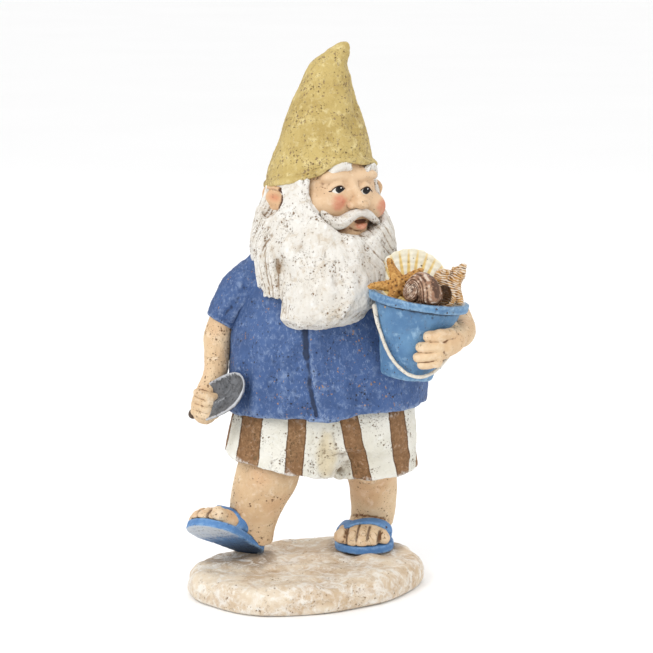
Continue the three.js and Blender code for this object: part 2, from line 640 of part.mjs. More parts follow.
function addPart(name, body, material) {
  const { vertProperties, triVerts, numProp } = body.getMesh();
  const geometry = new THREE.BufferGeometry();
  const places = new Float32Array((vertProperties.length / numProp) * 3);
  for (let i = 0; i < places.length / 3; i++) {
    for (let axis = 0; axis < 3; axis++) places[3 * i + axis] = vertProperties[numProp * i + axis];
  }
  geometry.setAttribute('position', new THREE.BufferAttribute(places, 3));
  geometry.setIndex(new THREE.BufferAttribute(new Uint32Array(triVerts), 1));
  geometry.computeVertexNormals();
  const mesh = new THREE.Mesh(geometry, material);
  mesh.name = name;
  group.add(mesh);
}

const leftFrame = footFrame(LEFT_HEEL, LEFT_HEADING, 0, 0);
const rightFrame = footFrame(RIGHT_HEEL, RIGHT_HEADING, RIGHT_TOE_LIFT, RIGHT_ROLL);
const FEET = [
  { side: 'right', frame: rightFrame, big: 1, rows: RIGHT_LEG_ROWS, pin: [[-27, 10, 6], [-19, 5, 92]] },
  { side: 'left', frame: leftFrame, big: -1, rows: LEFT_LEG_ROWS, pin: [[42.5, 45, 6], [36.5, 27, 92]] },
];

function addFeet(shorts) {
  const soles = FEET.map(({ frame, big }) => soleBody(frame, big, GLUE_GAP));
  const pins = FEET.map(({ pin }) => pinBody(...pin, GLUE_GAP));
  addPart('base', largest(cut(baseBody(), [...soles, ...pins])), PAINTS.sand);
  for (const { side, frame, big, rows, pin } of FEET) {
    const hole = pinBody(...pin, GLUE_GAP);
    addPart(`${side}_sandal_sole`, soleBody(frame, big).subtract(hole), PAINTS.sandal);
    const legClear = legBody(rows, frame, big, GLUE_GAP);
    addPart(`${side}_sandal_strap`, largest(strapBody(frame, big).subtract(legClear)), PAINTS.sandal);
    const leg = cut(legBody(rows, frame, big), [soleBody(frame, big, GLUE_GAP), hole]);
    addPart(`${side}_leg`, largest(leg), PAINTS.skin);
    addPart(`${side}_leg_pin`, pinBody(...pin), PAINTS.steel);
  }
  const legs = FEET.map(({ frame, big, rows }) => legBody(rows, frame, big, GLUE_GAP));
  addPart('shorts', largest(cut(shorts, [shortsHems(), ...legs, ...pins])), PAINTS.shorts);
}

function addBody() {
  const bucket = bucketOutside(GLUE_GAP);
  const arms = [rightArm(GLUE_GAP), leftArm(GLUE_GAP)];
  const sleeves = [sleeveBody(RIGHT_SLEEVE, GLUE_GAP), sleeveBody(LEFT_SLEEVE, GLUE_GAP)];
  const neck = headBody(GLUE_GAP);
  const torso = cut(shirtBody(), [hemHollow(), shortsBody(GLUE_GAP), bucket, ...arms, ...sleeves, neck]);
  addPart('shirt', largest(torso), PAINTS.shirt);
  addPart('right_sleeve', largest(cut(sleeveBody(RIGHT_SLEEVE), [arms[0]])), PAINTS.shirt);
  addPart('left_sleeve', largest(cut(sleeveBody(LEFT_SLEEVE), [arms[1], bucket])), PAINTS.shirt);
  addPart('right_arm', largest(cut(rightArm(), [trowelHandle(GLUE_GAP)])), PAINTS.skin);
  addPart('left_arm', largest(cut(leftArm(), [bucket, bailBody(GLUE_GAP)])), PAINTS.skin);
  addPart('trowel_handle', trowelHandle(), PAINTS.handle);
  const blade = cut(trowelBlade(), [arms[0], trowelHandle(GLUE_GAP)]);
  addPart('trowel_blade', largest(blade), PAINTS.trowel);
}

function addBucket() {
  const bail = bailBody(GLUE_GAP);
  const shell = bucketOutside().subtract(bucketInside());
  const fill = bucketInside(GLUE_GAP, FILL_DEPTH);
  const fillClear = bucketInside(0, FILL_DEPTH - GLUE_GAP);
  const wallClear = bucketOutside(GLUE_GAP).subtract(bucketInside(GLUE_GAP));
  const snail = snailBody();
  const conch = cut(conchBody(), [snailBody(GLUE_GAP)]);
  const starfish = cut(starfishBody(), [snailBody(GLUE_GAP), conchBody(GLUE_GAP)]);
  const scallop = cut(scallopBody(), [snailBody(GLUE_GAP), conchBody(GLUE_GAP), starfishBody(GLUE_GAP)]);
  const seat = (shell) => largest(cut(shell, [fillClear, wallClear]));
  addPart('bucket', largest(cut(shell, [bail])), PAINTS.bucket);
  addPart('bucket_bail', bailBody(), PAINTS.bail);
  addPart('bucket_fill', fill, PAINTS.wetSand);
  addPart('scallop_shell', seat(scallop), PAINTS.scallop);
  addPart('starfish', seat(starfish), PAINTS.starfish);
  addPart('snail_shell', seat(snail), PAINTS.snail);
  addPart('conch_shell', seat(conch), PAINTS.conch);
}

function addHead() {
  const headClear = headBody(GLUE_GAP);
  const hatClear = hatBody(2 * GLUE_GAP).add(hatBody());
  const ears = [-1, 1].flatMap((side) => [earBody(side, GLUE_GAP), earHollow(side)]);
  const sleeves = [RIGHT_SLEEVE, LEFT_SLEEVE].map((joints) => sleeveBody(joints, GLUE_GAP));
  const body = [shirtBody(GLUE_GAP), ...sleeves];
  const load = [bucketOutside(GLUE_GAP), scallopBody(3 * GLUE_GAP), scallopBody()];
  const face = [headClear, ...ears, moustacheBody(GLUE_GAP), faceWindow()];
  const mane = cut(maneBody(), [...face, hatClear, ...body, ...load]);
  const parting = (way) => halfSpace([0, HAIR_PARTING + (way * GLUE_GAP) / 2, HEAD_CENTRE[2]], [0, way, 0]);
  addPart('head', largest(headBody()), PAINTS.skin);
  for (const [name, side] of [['right', -1], ['left', 1]]) {
    addPart(`${name}_ear`, largest(cut(earBody(side), [headClear, hatClear])), PAINTS.skin);
    addPart(`${name}_eyebrow`, largest(cut(eyebrowBody(side), [headClear, hatClear])), PAINTS.hair);
  }
  addPart('moustache', largest(cut(moustacheBody(), [headClear])), PAINTS.hair);
  addPart('beard', largest(mane.intersect(parting(-1))), PAINTS.hair);
  addPart('hair', largest(mane.intersect(parting(1))), PAINTS.hair);
  addPart('hat', largest(cut(hatBody(), [headClear])), PAINTS.hat);
}

addFeet(shortsBody());
addBody();
addBucket();
addHead();

export default group;
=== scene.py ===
import json
import math

import bpy
import numpy as np
import openvdb as vdb
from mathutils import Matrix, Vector

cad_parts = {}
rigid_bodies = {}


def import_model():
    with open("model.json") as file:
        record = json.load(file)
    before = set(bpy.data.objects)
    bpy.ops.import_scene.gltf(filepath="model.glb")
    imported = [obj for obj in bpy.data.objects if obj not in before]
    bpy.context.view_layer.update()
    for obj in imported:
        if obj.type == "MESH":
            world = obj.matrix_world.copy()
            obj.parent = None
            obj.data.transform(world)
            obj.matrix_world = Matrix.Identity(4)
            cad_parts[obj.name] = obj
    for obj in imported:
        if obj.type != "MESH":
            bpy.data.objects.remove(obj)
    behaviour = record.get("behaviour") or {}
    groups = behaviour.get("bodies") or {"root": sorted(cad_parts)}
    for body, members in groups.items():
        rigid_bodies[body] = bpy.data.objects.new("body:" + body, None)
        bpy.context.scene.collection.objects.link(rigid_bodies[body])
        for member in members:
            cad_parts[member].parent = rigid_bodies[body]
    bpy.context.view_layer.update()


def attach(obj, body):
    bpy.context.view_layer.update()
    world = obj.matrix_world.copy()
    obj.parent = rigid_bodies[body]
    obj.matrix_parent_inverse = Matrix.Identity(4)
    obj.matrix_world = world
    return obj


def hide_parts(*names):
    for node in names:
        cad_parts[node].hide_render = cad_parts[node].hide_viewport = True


# Garden gnome of painted cast stone. Every piece is sculpted in millimetres as a distance field, in the
# assembly's frame (+X to the viewer's right, -Y towards the viewer, +Z up), then cast as a mesh in metres.

for item in list(bpy.data.objects):
    bpy.data.objects.remove(item)
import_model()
MM = 0.001
FAR = 40.0
PAINT_GAIN = 0.84
PIT_SLOPE = 11.0

# ---- Clay: sculpting with distance fields ------------------------------------------


def soft_min(a, b, soft):
    """The smaller of two distances, rounded where they meet."""
    if soft <= 0:
        return np.minimum(a, b)
    near = np.maximum(soft - np.abs(a - b), 0) / soft
    return np.minimum(a, b) - near * near * soft * 0.25


def soft_max(a, b, soft):
    return -soft_min(-a, -b, soft)


def smooth(low, high, value):
    """A smooth step from 0 at low to 1 at high."""
    part = np.clip((value - low) / (high - low), 0, 1)
    return part * part * (3 - 2 * part)


def smooth_path(points, steps=4):
    """Catmull-Rom curve through rows of x, y, z, radius and anything else in the row."""
    rows = np.array(points, float)
    if len(rows) < 3:
        share = np.linspace(0, 1, steps + 1)[:, None]
        return rows[0] * (1 - share) + rows[-1] * share
    ends = np.vstack([2 * rows[0] - rows[1], rows, 2 * rows[-1] - rows[-2]])
    out = []
    for i in range(len(rows) - 1):
        a, b, c, d = ends[i:i + 4]
        for t in np.arange(steps) / steps:
            out.append(0.5 * (2 * b + (c - a) * t + (2 * a - 5 * b + 4 * c - d) * t * t
                              + (3 * b - a - 3 * c + d) * t ** 3))
    return np.array(out + [rows[-1]])


class Clay:
    """A block of space sampled on a grid; negative inside what has been modelled."""

    def __init__(self, low, high, step):
        self.step = step
        self.low = np.array(low, float)
        self.axes = [np.arange(a, b + step, step, dtype=np.float32) for a, b in zip(low, high)]
        self.field = np.full([len(axis) for axis in self.axes], FAR, np.float32)

    def window(self, low, high):
        """The part of the grid between two corners, and its coordinates along each axis."""
        cuts, places = [], []
        for k, axis in enumerate(self.axes):
            i, j = np.searchsorted(axis, (low[k], high[k]))
            shape = [1, 1, 1]
            shape[k] = max(j - i, 0)
            cuts.append(slice(i, max(j, i)))
            places.append(axis[i:max(j, i)].reshape(shape))
        return tuple(cuts), places

    def put(self, cuts, distance, soft=1.0, carve=False):
        old, distance = self.field[cuts], np.asarray(distance, np.float32)
        self.field[cuts] = soft_max(old, -distance, soft) if carve else soft_min(old, distance, soft)

    def shape(self, distance, soft=1.0, carve=False, within=((-np.inf,) * 3, (np.inf,) * 3)):
        """Anything given as a distance function of x, y and z."""
        cuts, (x, y, z) = self.window(*within)
        self.put(cuts, distance(x, y, z), soft, carve)

    def egg(self, centre, halves, turn=None, soft=1.0, carve=False):
        """An ellipsoid; the rows of turn are its axes."""
        centre, halves = np.array(centre, float), np.broadcast_to(np.array(halves, float), 3)
        reach = halves.max() + soft + 3 * self.step
        cuts, (x, y, z) = self.window(centre - reach, centre + reach)
        x, y, z = x - centre[0], y - centre[1], z - centre[2]
        rows = np.eye(3) if turn is None else np.array(turn)
        q = [rows[k, 0] * x + rows[k, 1] * y + rows[k, 2] * z for k in range(3)]
        near = np.sqrt(sum((a / h) ** 2 for a, h in zip(q, halves)))
        slope = np.sqrt(sum((a / h ** 2) ** 2 for a, h in zip(q, halves)))
        self.put(cuts, near * (near - 1) / np.maximum(slope, 1e-6), soft, carve)

    def rod(self, points, soft=1.0, thin=None, flat=1.0, carve=False, curve=True):
        """A round limb through rows of x, y, z, radius; flat below 1 thins it along the direction thin."""
        rows = smooth_path(points) if curve else np.array(points, float)
        reach = rows[:, 3].max() + soft + 3 * self.step
        cuts, (x, y, z) = self.window(rows[:, :3].min(0) - reach, rows[:, :3].max(0) + reach)
        best = np.full([x.shape[0], y.shape[1], z.shape[2]], FAR, np.float32)
        for a, b in zip(rows[:-1], rows[1:]):
            along = b[:3] - a[:3]
            length = float(along @ along) + 1e-9
            t = ((x - a[0]) * along[0] + (y - a[1]) * along[1] + (z - a[2]) * along[2]) / length
            t = np.clip(t, 0, 1)
            dx, dy, dz = x - a[0] - t * along[0], y - a[1] - t * along[1], z - a[2] - t * along[2]
            if thin is not None:
                extra = (dx * thin[0] + dy * thin[1] + dz * thin[2]) * (1 / flat - 1)
                dx, dy, dz = dx + extra * thin[0], dy + extra * thin[1], dz + extra * thin[2]
            gap = np.sqrt(dx * dx + dy * dy + dz * dz) - (a[3] + t * (b[3] - a[3]))
            best = np.minimum(best, gap)
        self.put(cuts, best, soft, carve)

    def column(self, rows, soft=1.0, rise=(0, 0), square=2.0, cap=1.0, carve=False, cap_top=None):
        """Stacked ovals. Each row is z, centre x, centre y, half width, half depth; rise tips them."""
        dense = smooth_path(rows, 6)
        side = dense[:, 3:].max() * 1.25 + soft + 3
        low = [dense[:, 1].min() - side, dense[:, 2].min() - side, dense[0, 0] - 12]
        high = [dense[:, 1].max() + side, dense[:, 2].max() + side, dense[-1, 0] + 12]
        cuts, (x, y, z) = self.window(low, high)
        lean = z - rise[0] * (x - dense[0, 1]) - rise[1] * (y - dense[0, 2]) if any(rise) else z
        cx, cy, a, b = (np.interp(lean, dense[:, 0], dense[:, k]) for k in range(1, 5))
        dx, dy = x - cx, y - cy
        out = np.sqrt(dx * dx + dy * dy)
        rim = (np.abs(dx / a) ** square + np.abs(dy / b) ** square) ** (1 / square)
        wall = out - out / np.maximum(rim, 1e-4)
        gap = soft_max(wall, dense[0, 0] - lean, cap)
        gap = soft_max(gap, lean - dense[-1, 0], cap if cap_top is None else cap_top)
        self.put(cuts, gap, soft, carve)

    def cast(self):
        """The clay's surface as points and quads, closed at the block's own faces."""
        self.field[[0, -1]] = self.field[:, [0, -1]] = 5
        self.field[:, :, [0, -1]] = 5
        grid = vdb.FloatGrid(FAR)
        grid.copyFromArray(np.ascontiguousarray(self.field))
        points, _, quads = grid.convertToPolygons(0.0, 0.0)
        points = points.astype(float) * self.step + self.low
        return Skin(points, quads.astype(np.int64))

    def skin(self, rounds, grains, reach, gain):
        """The cast surface, relaxed, with grains of relief: size, seed, octaves and depth of each."""
        skin = self.cast().relax(rounds)
        skin.plain = skin.v
        skin.swell(sum(depth * rough(skin.v, size, seed, octaves) for size, seed, octaves, depth in grains))
        skin.hollows(reach, gain)
        return skin


class Skin:
    """Points and quads, with the sums over neighbours that relief and paint need."""

    def __init__(self, points, quads):
        self.v, self.q = points, quads
        a, b, c, d = (points[quads[:, k]] for k in range(4))
        if np.einsum("ij,ij->i", a, np.cross(b, c)).sum() + np.einsum("ij,ij->i", a,
                np.cross(c, d)).sum() < 0:
            self.q = quads[:, ::-1].copy()
        pairs = np.concatenate([self.q[:, [k, (k + 1) % 4]] for k in range(4)])
        pairs = np.concatenate([pairs, pairs[:, ::-1]])
        self.near, self.far = pairs[:, 0], pairs[:, 1]
        self.count = np.maximum(np.bincount(self.near, minlength=len(points)), 1)
        self.marks = {}

    def average(self, values, rounds=1):
        """Each point's value replaced, round after round, by the mean of its neighbours'."""
        for _ in range(rounds):
            if values.ndim == 2:
                values = np.stack([self.average(column) for column in values.T], 1)
            else:
                values = np.bincount(self.near, values[self.far], len(values)) / self.count
        return values

    def relax(self, rounds):
        for _ in range(rounds):
            self.v = self.v + 0.5 * (self.average(self.v) - self.v)
        return self

    def normals(self):
        a, b, c, d = (self.v[self.q[:, k]] for k in range(4))
        face = np.cross(c - a, d - b)
        out = np.stack([sum(np.bincount(self.q[:, k], face[:, axis], len(self.v)) for k in range(4))
                        for axis in range(3)], 1)
        return out / np.maximum(np.linalg.norm(out, axis=1), 1e-9)[:, None]

    def swell(self, amount):
        """Moves each point out along its normal."""
        self.v = self.v + self.normals() * np.asarray(amount)[..., None]

    def hollows(self, reach, gain):
        """Marks hollow and proud: how far each point lies below or above its surroundings."""
        facing = self.normals()
        near = self.average(self.v, reach)
        wide = self.average(near, 3 * reach)
        bend = self.average(np.einsum("ij,ij->i", near - self.v, facing), 1) * gain * 1.7
        # The wide term also marks broad hollows, and the dark wash laid there is painted shade.
        bend = bend + np.einsum("ij,ij->i", wide - self.v, facing) * gain * 0.35
        self.marks["hollow"] = np.clip(bend, 0, 1)
        self.marks["proud"] = np.clip(-bend, 0, 1)

    def mark(self, name, values):
        """A value at each point, for the paint to read."""
        self.marks[name] = np.asarray(values, float)


def lattice(ix, iy, iz, seed):
    """A repeatable random value between -1 and 1 for each cell."""
    n = (ix.astype(np.int64) * 73856093) ^ (iy.astype(np.int64) * 19349663) ^ (iz.astype(np.int64) * 83492791)
    n = ((n ^ (seed * 2654435761)) & 0xFFFFFFFF).astype(np.uint64)
    n = ((n ^ (n >> np.uint64(15))) * np.uint64(2246822519)) & np.uint64(0xFFFFFFFF)
    n = ((n ^ (n >> np.uint64(13))) * np.uint64(3266489917)) & np.uint64(0xFFFFFFFF)
    return ((n ^ (n >> np.uint64(16))) & np.uint64(0xFFFF)).astype(float) / 32767.5 - 1


def rough(points, size, seed=1, octaves=3):
    """Smooth random relief between about -1 and 1; size is the width of its lumps, a number or x, y, z."""
    total, weight, whole = 0, 1.0, 0.0
    place = points / np.asarray(size, float)
    for octave in range(octaves):
        cell = np.floor(place)
        part = place - cell
        part = part * part * (3 - 2 * part)
        cell = cell.astype(np.int64)
        value = 0
        for corner in np.ndindex(2, 2, 2):
            share = np.prod(np.where(corner, part, 1 - part), axis=1)
            value = value + share * lattice(*(cell + corner).T, seed + octave)
        total = total + value * weight
        whole += weight
        weight *= 0.5
        place = place * 2.03 + 11.7
    return total / whole * 1.6


def unit(*values):
    return np.array(values) / np.linalg.norm(values)


def turn_about(axis, degrees):
    angle = math.radians(degrees)
    c, s = math.cos(angle), math.sin(angle)
    rows = {"x": [[1, 0, 0], [0, c, -s], [0, s, c]], "y": [[c, 0, s], [0, 1, 0], [-s, 0, c]],
            "z": [[c, -s, 0], [s, c, 0], [0, 0, 1]]}
    return np.array(rows[axis])


class Place:
    """A local frame: an origin and a turn, with points carried in and out of it."""

    def __init__(self, origin, turn):
        self.origin, self.turn = np.array(origin, float), np.array(turn, float)

    def out(self, point, *rest):
        return [*(self.turn @ np.array(point, float) + self.origin), *rest]

    def rows(self, rows):
        return [self.out(row[:3], *row[3:]) for row in rows]

    def carry(self, points):
        return points @ self.turn.T + self.origin

    def into(self, points):
        return (points - self.origin) @ self.turn

    def local(self, x, y, z):
        dx, dy, dz = x - self.origin[0], y - self.origin[1], z - self.origin[2]
        t = self.turn
        return [t[0, k] * dx + t[1, k] * dy + t[2, k] * dz for k in range(3)]

    def box(self, across, deep, high):
        """Corners of the world box that holds a local box, given as three ranges."""
        corners = np.array([self.out((x, y, z)) for x in across for y in deep for z in high])
        return corners.min(0), corners.max(0)


# ---- Paint: procedural materials ---------------------------------------------------


def rgb(*colour):
    """Linear colour of an sRGB one, a little darkened for the studio's strong light."""
    shares = [value / 255 for value in colour]
    return (*(PAINT_GAIN * (v / 12.92 if v <= 0.04045 else ((v + 0.055) / 1.055) ** 2.4) for v in shares),
            1.0)


class Look:
    """A node material under construction. Sizes are in millimetres on the object itself."""

    def __init__(self, name):
        self.material = bpy.data.materials.new(name)
        self.material.use_nodes = True
        self.tree = self.material.node_tree
        self.tree.nodes.clear()
        self.place = self.tree.nodes.new("ShaderNodeTexCoord").outputs["Object"]
        self.shader = self.tree.nodes.new("ShaderNodeBsdfPrincipled")
        out = self.tree.nodes.new("ShaderNodeOutputMaterial")
        self.tree.links.new(self.shader.outputs[0], out.inputs["Surface"])

    def feed(self, socket, value):
        """Links a socket to another, or gives it a plain value."""
        if isinstance(value, bpy.types.NodeSocket):
            self.tree.links.new(value, socket)
        else:
            socket.default_value = value

    def node(self, kind, **values):
        node = self.tree.nodes.new("ShaderNode" + kind)
        for name, value in values.items():
            self.feed(node.inputs[name], value)
        return node

    def sum(self, kind, operation, *values):
        node = self.node(kind)
        node.operation = operation
        for socket, value in zip(node.inputs, values):
            self.feed(socket, value)
        return node.outputs[0]

    def math(self, operation, *values):
        return self.sum("Math", operation, *values)

    def vector(self, operation, *values):
        return self.sum("VectorMath", operation, *values)

    def times(self, a, b):
        return self.math("MULTIPLY", a, b)

    def ragged(self, edge, noise, amount):
        """A mark whose edges are broken up by a noise."""
        return self.math("MULTIPLY_ADD", self.math("SUBTRACT", noise, 0.5), amount, edge)

    def coat(self, under, share, tone, strength=None):
        """A colour laid over another, in a share that strength may weaken."""
        return self.mix(share if strength is None else self.times(share, strength), under, rgb(*tone))

    def step(self, value, low, high):
        node = self.node("MapRange", **{"Value": value, "From Min": low, "From Max": high})
        node.interpolation_type = "SMOOTHSTEP"
        return node.outputs[0]

    def mix(self, share, a, b):
        node = self.node("Mix")
        node.data_type = "RGBA"
        for socket, value in ((0, share), (6, a), (7, b)):
            self.feed(node.inputs[socket], value)
        return node.outputs[2]

    def stretch(self, x, y, z):
        return self.vector("MULTIPLY", self.place, (x, y, z))

    def noise(self, size, detail=3.0, rough=0.55, bend=0.0, place=None, shift=0.0):
        place = self.place if place is None else place
        if shift:
            place = self.vector("ADD", place, (shift, shift * 0.7, -shift))
        node = self.node("TexNoise", Vector=place, Scale=1000 / size, Detail=detail, Roughness=rough,
                         Distortion=bend)
        return node.outputs[0]

    def mark(self, name):
        node = self.node("Attribute")
        node.attribute_name = name
        return node.outputs["Fac"]

    def pits(self, size, share=0.35, widest=0.36, ragged=0.5, where=None, place=None):
        """Scattered irregular pits: one in each cell of the given size, in a share of the cells."""
        place = self.place if place is None else place
        wobble = self.node("TexNoise", Vector=place, Scale=1000 / (size * 0.45), Detail=2.0)
        centre = self.vector("MULTIPLY_ADD", wobble.outputs["Color"], (size * MM * ragged,) * 3, place)
        cells = self.node("TexVoronoi", Vector=centre, Scale=1000 / size)
        apart = self.node("SeparateColor", Color=cells.outputs["Color"])
        radius = self.math("MULTIPLY_ADD", apart.outputs[0], widest / share, widest - widest / share)
        if where is not None:
            radius = self.times(radius, where)
        depth = self.times(self.math("SUBTRACT", radius, cells.outputs["Distance"]), PIT_SLOPE)
        depth.node.use_clamp = True
        return depth

    def bump(self, height, distance, **under):
        return self.node("Bump", Height=height, Distance=distance * MM, Strength=1.0, **under).outputs[0]

    def finish(self, **values):
        for name, value in values.items():
            self.feed(self.shader.inputs[name.replace("_", " ")], value)
        return self.material


def painted(name, base, deep, light, wash_and_shade_tone, layers=None, pit=0.35, pit_size=2.6, pit_colour=(92, 68, 48),
            fine_pit=0.28, rough_low=0.55, rough_high=0.82, brush=0.6, wash_and_shade_strength=0.85, grain=1.0, mottle=0.5,
            sheen=0.3):
    """Brushed paint on cast stone: mottled coats, dry-brushed ridges, a dark wash in hollows that is partly
    painted shade, open pits.
    """
    look = Look(name)
    cloud = look.noise(19, 3, 0.55)
    patch = look.noise(5.5, 4, 0.6, 0.4, shift=0.31)
    grit = look.noise(0.75, 4, 0.65)
    dabs = look.noise(2.4, 5, 0.7, 0.6, shift=0.17)
    colour = look.mix(look.times(look.step(cloud, 0.38, 0.66), mottle), rgb(*base), rgb(*deep))
    colour = look.coat(colour, look.step(patch, 0.52, 0.74), light, mottle)
    if layers is not None:
        colour = layers(look, colour, dabs)
    proud = look.times(look.step(look.mark("proud"), 0.05, 0.55), look.step(dabs, 0.38, 0.6))
    scuffs = look.times(look.step(dabs, 0.6, 0.7), 0.35 * brush)
    lifted = look.math("MAXIMUM", look.times(proud, brush), scuffs)
    colour = look.coat(colour, lifted, light)
    # Hollows take the dark wash: the casting's brown antiquing, and painted shade in the same places.
    groove = look.ragged(look.mark("hollow"), dabs, 0.5)
    wash_and_shade = look.times(look.step(groove, 0.08, 0.5), wash_and_shade_strength)
    colour = look.coat(colour, wash_and_shade, wash_and_shade_tone)
    cluster = look.step(look.noise(12, 4, 0.6, shift=0.53), 0.4, 0.62)
    crowd = look.math("MULTIPLY_ADD", cluster, 0.75, 0.4)
    big = look.pits(pit_size, pit, 0.36, 0.9, crowd)
    small = look.pits(pit_size * 0.5, fine_pit, 0.38, 0.8, crowd)
    halo = look.pits(pit_size, pit, 0.56, 0.9, crowd)
    colour = look.coat(colour, halo, wash_and_shade_tone, 0.3)
    holes = look.math("MAXIMUM", big, look.times(small, 0.85))
    colour = look.coat(colour, holes, pit_colour, 0.88)
    shine = look.ragged((rough_low + rough_high) / 2, patch, 0.5)
    shine = look.math("MAXIMUM", shine, look.times(holes, 0.9))
    relief = look.bump(grit, 0.16 * grain)
    relief = look.bump(dabs, 0.5 * grain, Normal=relief)
    relief = look.bump(look.times(holes, -1.0), 0.55, Normal=relief)
    return look.finish(Base_Color=colour, Roughness=look.math("MINIMUM", shine, 0.95),
                       Specular_IOR_Level=sheen,
                       Normal=relief)


# ---- Pieces ------------------------------------------------------------------------


def show(name, skin, material, node):
    """Hands over a finished skin in place of one node of the assembly."""
    mesh = bpy.data.meshes.new(name)
    count, size = skin.q.shape
    mesh.vertices.add(len(skin.v))
    mesh.vertices.foreach_set("co", (skin.v * MM).astype(np.float32).ravel())
    mesh.loops.add(count * size)
    mesh.loops.foreach_set("vertex_index", skin.q.astype(np.int32).ravel())
    mesh.polygons.add(count)
    mesh.polygons.foreach_set("loop_start", np.arange(0, count * size, size, dtype=np.int32))
    mesh.polygons.foreach_set("use_smooth", np.full(count, True))
    mesh.update(calc_edges=True)
    mesh.validate()
    for mark, values in skin.marks.items():
        mesh.attributes.new(mark, "FLOAT", "POINT").data.foreach_set("value", values.astype(np.float32))
    mesh.materials.append(material)
    piece = bpy.data.objects.new(name, mesh)
    bpy.context.scene.collection.objects.link(piece)
    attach(piece, "root")
    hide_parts(node)


# ---- Paints ------------------------------------------------------------------------
# A layers function adds what is special to one paint. Dabs is the paint's own brush noise.


def sand_layers(look, colour, dabs):
    # Sand darker around the feet and in scattered patches.
    darker_sand = look.step(look.math("ADD", look.mark("feet_and_patches"), look.times(dabs, 0.5)), 0.5, 1.0)
    colour = look.coat(colour, darker_sand, (160, 136, 112), 0.75)
    ripple = look.step(look.noise(8, 6, 0.75, 0.7, shift=0.9), 0.46, 0.62)
    colour = look.coat(colour, ripple, (252, 248, 240), 0.75)
    dirt = look.step(look.noise(13, 6, 0.75, 0.6, shift=0.35), 0.52, 0.68)
    return look.coat(colour, dirt, (190, 154, 116), 0.5)


def sandal_layers(look, colour, dabs):
    worn = look.math("MULTIPLY_ADD", dabs, 0.9, look.mark("underside"))
    colour = look.coat(colour, look.step(worn, 1.15, 1.6), (226, 230, 232), 0.8)
    # Painted shade: darker towards the heel underneath, along the sole's lower edge and where the strap meets
    # the footbed.
    contact_shade = look.math("MULTIPLY_ADD", dabs, 0.6, look.mark("contact_shade"))
    return look.coat(colour, look.step(contact_shade, 0.55, 1.2), (62, 72, 88), 0.85)


def skin_layers(look, colour, dabs):
    warm = look.step(look.noise(26, 2, 0.5, shift=0.77), 0.42, 0.7)
    colour = look.coat(colour, warm, (222, 170, 128), 0.35)
    nail = look.step(look.mark("nail"), -0.05, 0.25)
    colour = look.coat(colour, nail, (242, 216, 182), 0.45)
    # Dark clefts between the toes: painted shade.
    return look.coat(colour, look.step(look.mark("cleft"), 0.1, 0.8), (96, 66, 44), 0.85)


def face_layers(look, colour, dabs):
    soft = look.ragged(look.mark("blush"), dabs, 0.35)
    colour = look.coat(colour, look.step(soft, 0.1, 1.0), (214, 112, 88), 0.72)
    colour = look.coat(colour, look.step(look.mark("lips"), -0.4, 0.6), (216, 124, 94), 0.9)
    # The open mouth is painted dark brown, which also stands in for the shade inside it.
    colour = look.coat(colour, look.step(look.mark("mouth"), -0.2, 0.25), (84, 50, 38))
    colour = look.coat(colour, look.step(look.mark("eye"), -0.12, 0.12), (238, 234, 224))
    inside = look.step(look.mark("eye"), -0.1, 0.1)
    iris = look.times(look.step(look.mark("iris"), -0.1, 0.1), inside)
    colour = look.coat(colour, iris, (34, 33, 35))
    pupil = look.times(look.step(look.mark("iris"), 0.5, 1.3), inside)
    colour = look.coat(colour, pupil, (20, 19, 20))
    colour = look.coat(colour, look.step(look.mark("lash"), -0.1, 0.12), (66, 42, 30))
    return look.coat(colour, look.step(look.mark("glint"), -0.06, 0.06), (255, 255, 255))


def ear_layers(look, colour, dabs):
    return look.coat(colour, look.step(look.mark("blush"), 0.1, 1.0), (224, 138, 104), 0.6)


def stripe_layers(look, colour, dabs):
    edge = look.ragged(look.mark("stripe"), dabs, 0.9)
    band = look.step(edge, -0.15, 0.2)
    brown = look.mix(look.step(dabs, 0.35, 0.7), rgb(132, 98, 68), rgb(166, 128, 92))
    colour = look.mix(band, colour, brown)
    line = look.times(band, look.math("SUBTRACT", 1.0, look.step(edge, 0.35, 0.95)))
    colour = look.coat(colour, line, (84, 56, 38), 0.75)
    return look.coat(colour, look.step(look.mark("straw"), 0.15, 0.9), (222, 202, 156), 0.6)


def shirt_layers(look, colour, dabs):
    bunch = look.math("MULTIPLY_ADD", look.step(look.noise(16, 4, 0.6, shift=0.25), 0.42, 0.62), 0.8, 0.15)
    flecks = look.pits(1.7, 0.8, 0.46, 1.1, bunch, place=look.stretch(1, 1, 0.8))
    colour = look.coat(colour, flecks, (182, 138, 84), 0.8)
    shade = look.step(look.noise(17, 4, 0.6, shift=0.8), 0.46, 0.66)
    colour = look.coat(colour, shade, (54, 78, 122), 0.5)
    strokes = look.noise(1.5, 5, 0.75, 0.3, place=look.stretch(1, 1, 0.6), shift=0.4)
    rubbed = look.times(look.step(strokes, 0.53, 0.66), look.math("MULTIPLY_ADD", shade, -0.45, 1.0))
    return look.coat(colour, rubbed, (160, 178, 210), 0.5)


def hat_layers(look, colour, dabs):
    crowd = look.math("MULTIPLY_ADD", look.step(look.noise(11, 5, 0.7, shift=0.2), 0.4, 0.58), 0.75, 0.32)
    specks = look.math("MAXIMUM", look.pits(2.1, 1.0, 0.5, 1.2, crowd),
                       look.pits(1.25, 0.9, 0.46, 1.1, crowd))
    colour = look.coat(colour, specks, (138, 114, 82), 0.85)
    rub = look.step(look.noise(3.0, 6, 0.75, 0.6, shift=0.6), 0.52, 0.68)
    return look.coat(colour, rub, (238, 224, 176), 0.4)


def hair_layers(look, colour, dabs):
    stain = look.step(look.noise(7, 6, 0.75, 0.8, shift=0.45), 0.5, 0.66)
    return look.coat(colour, stain, (196, 174, 142), 0.5)


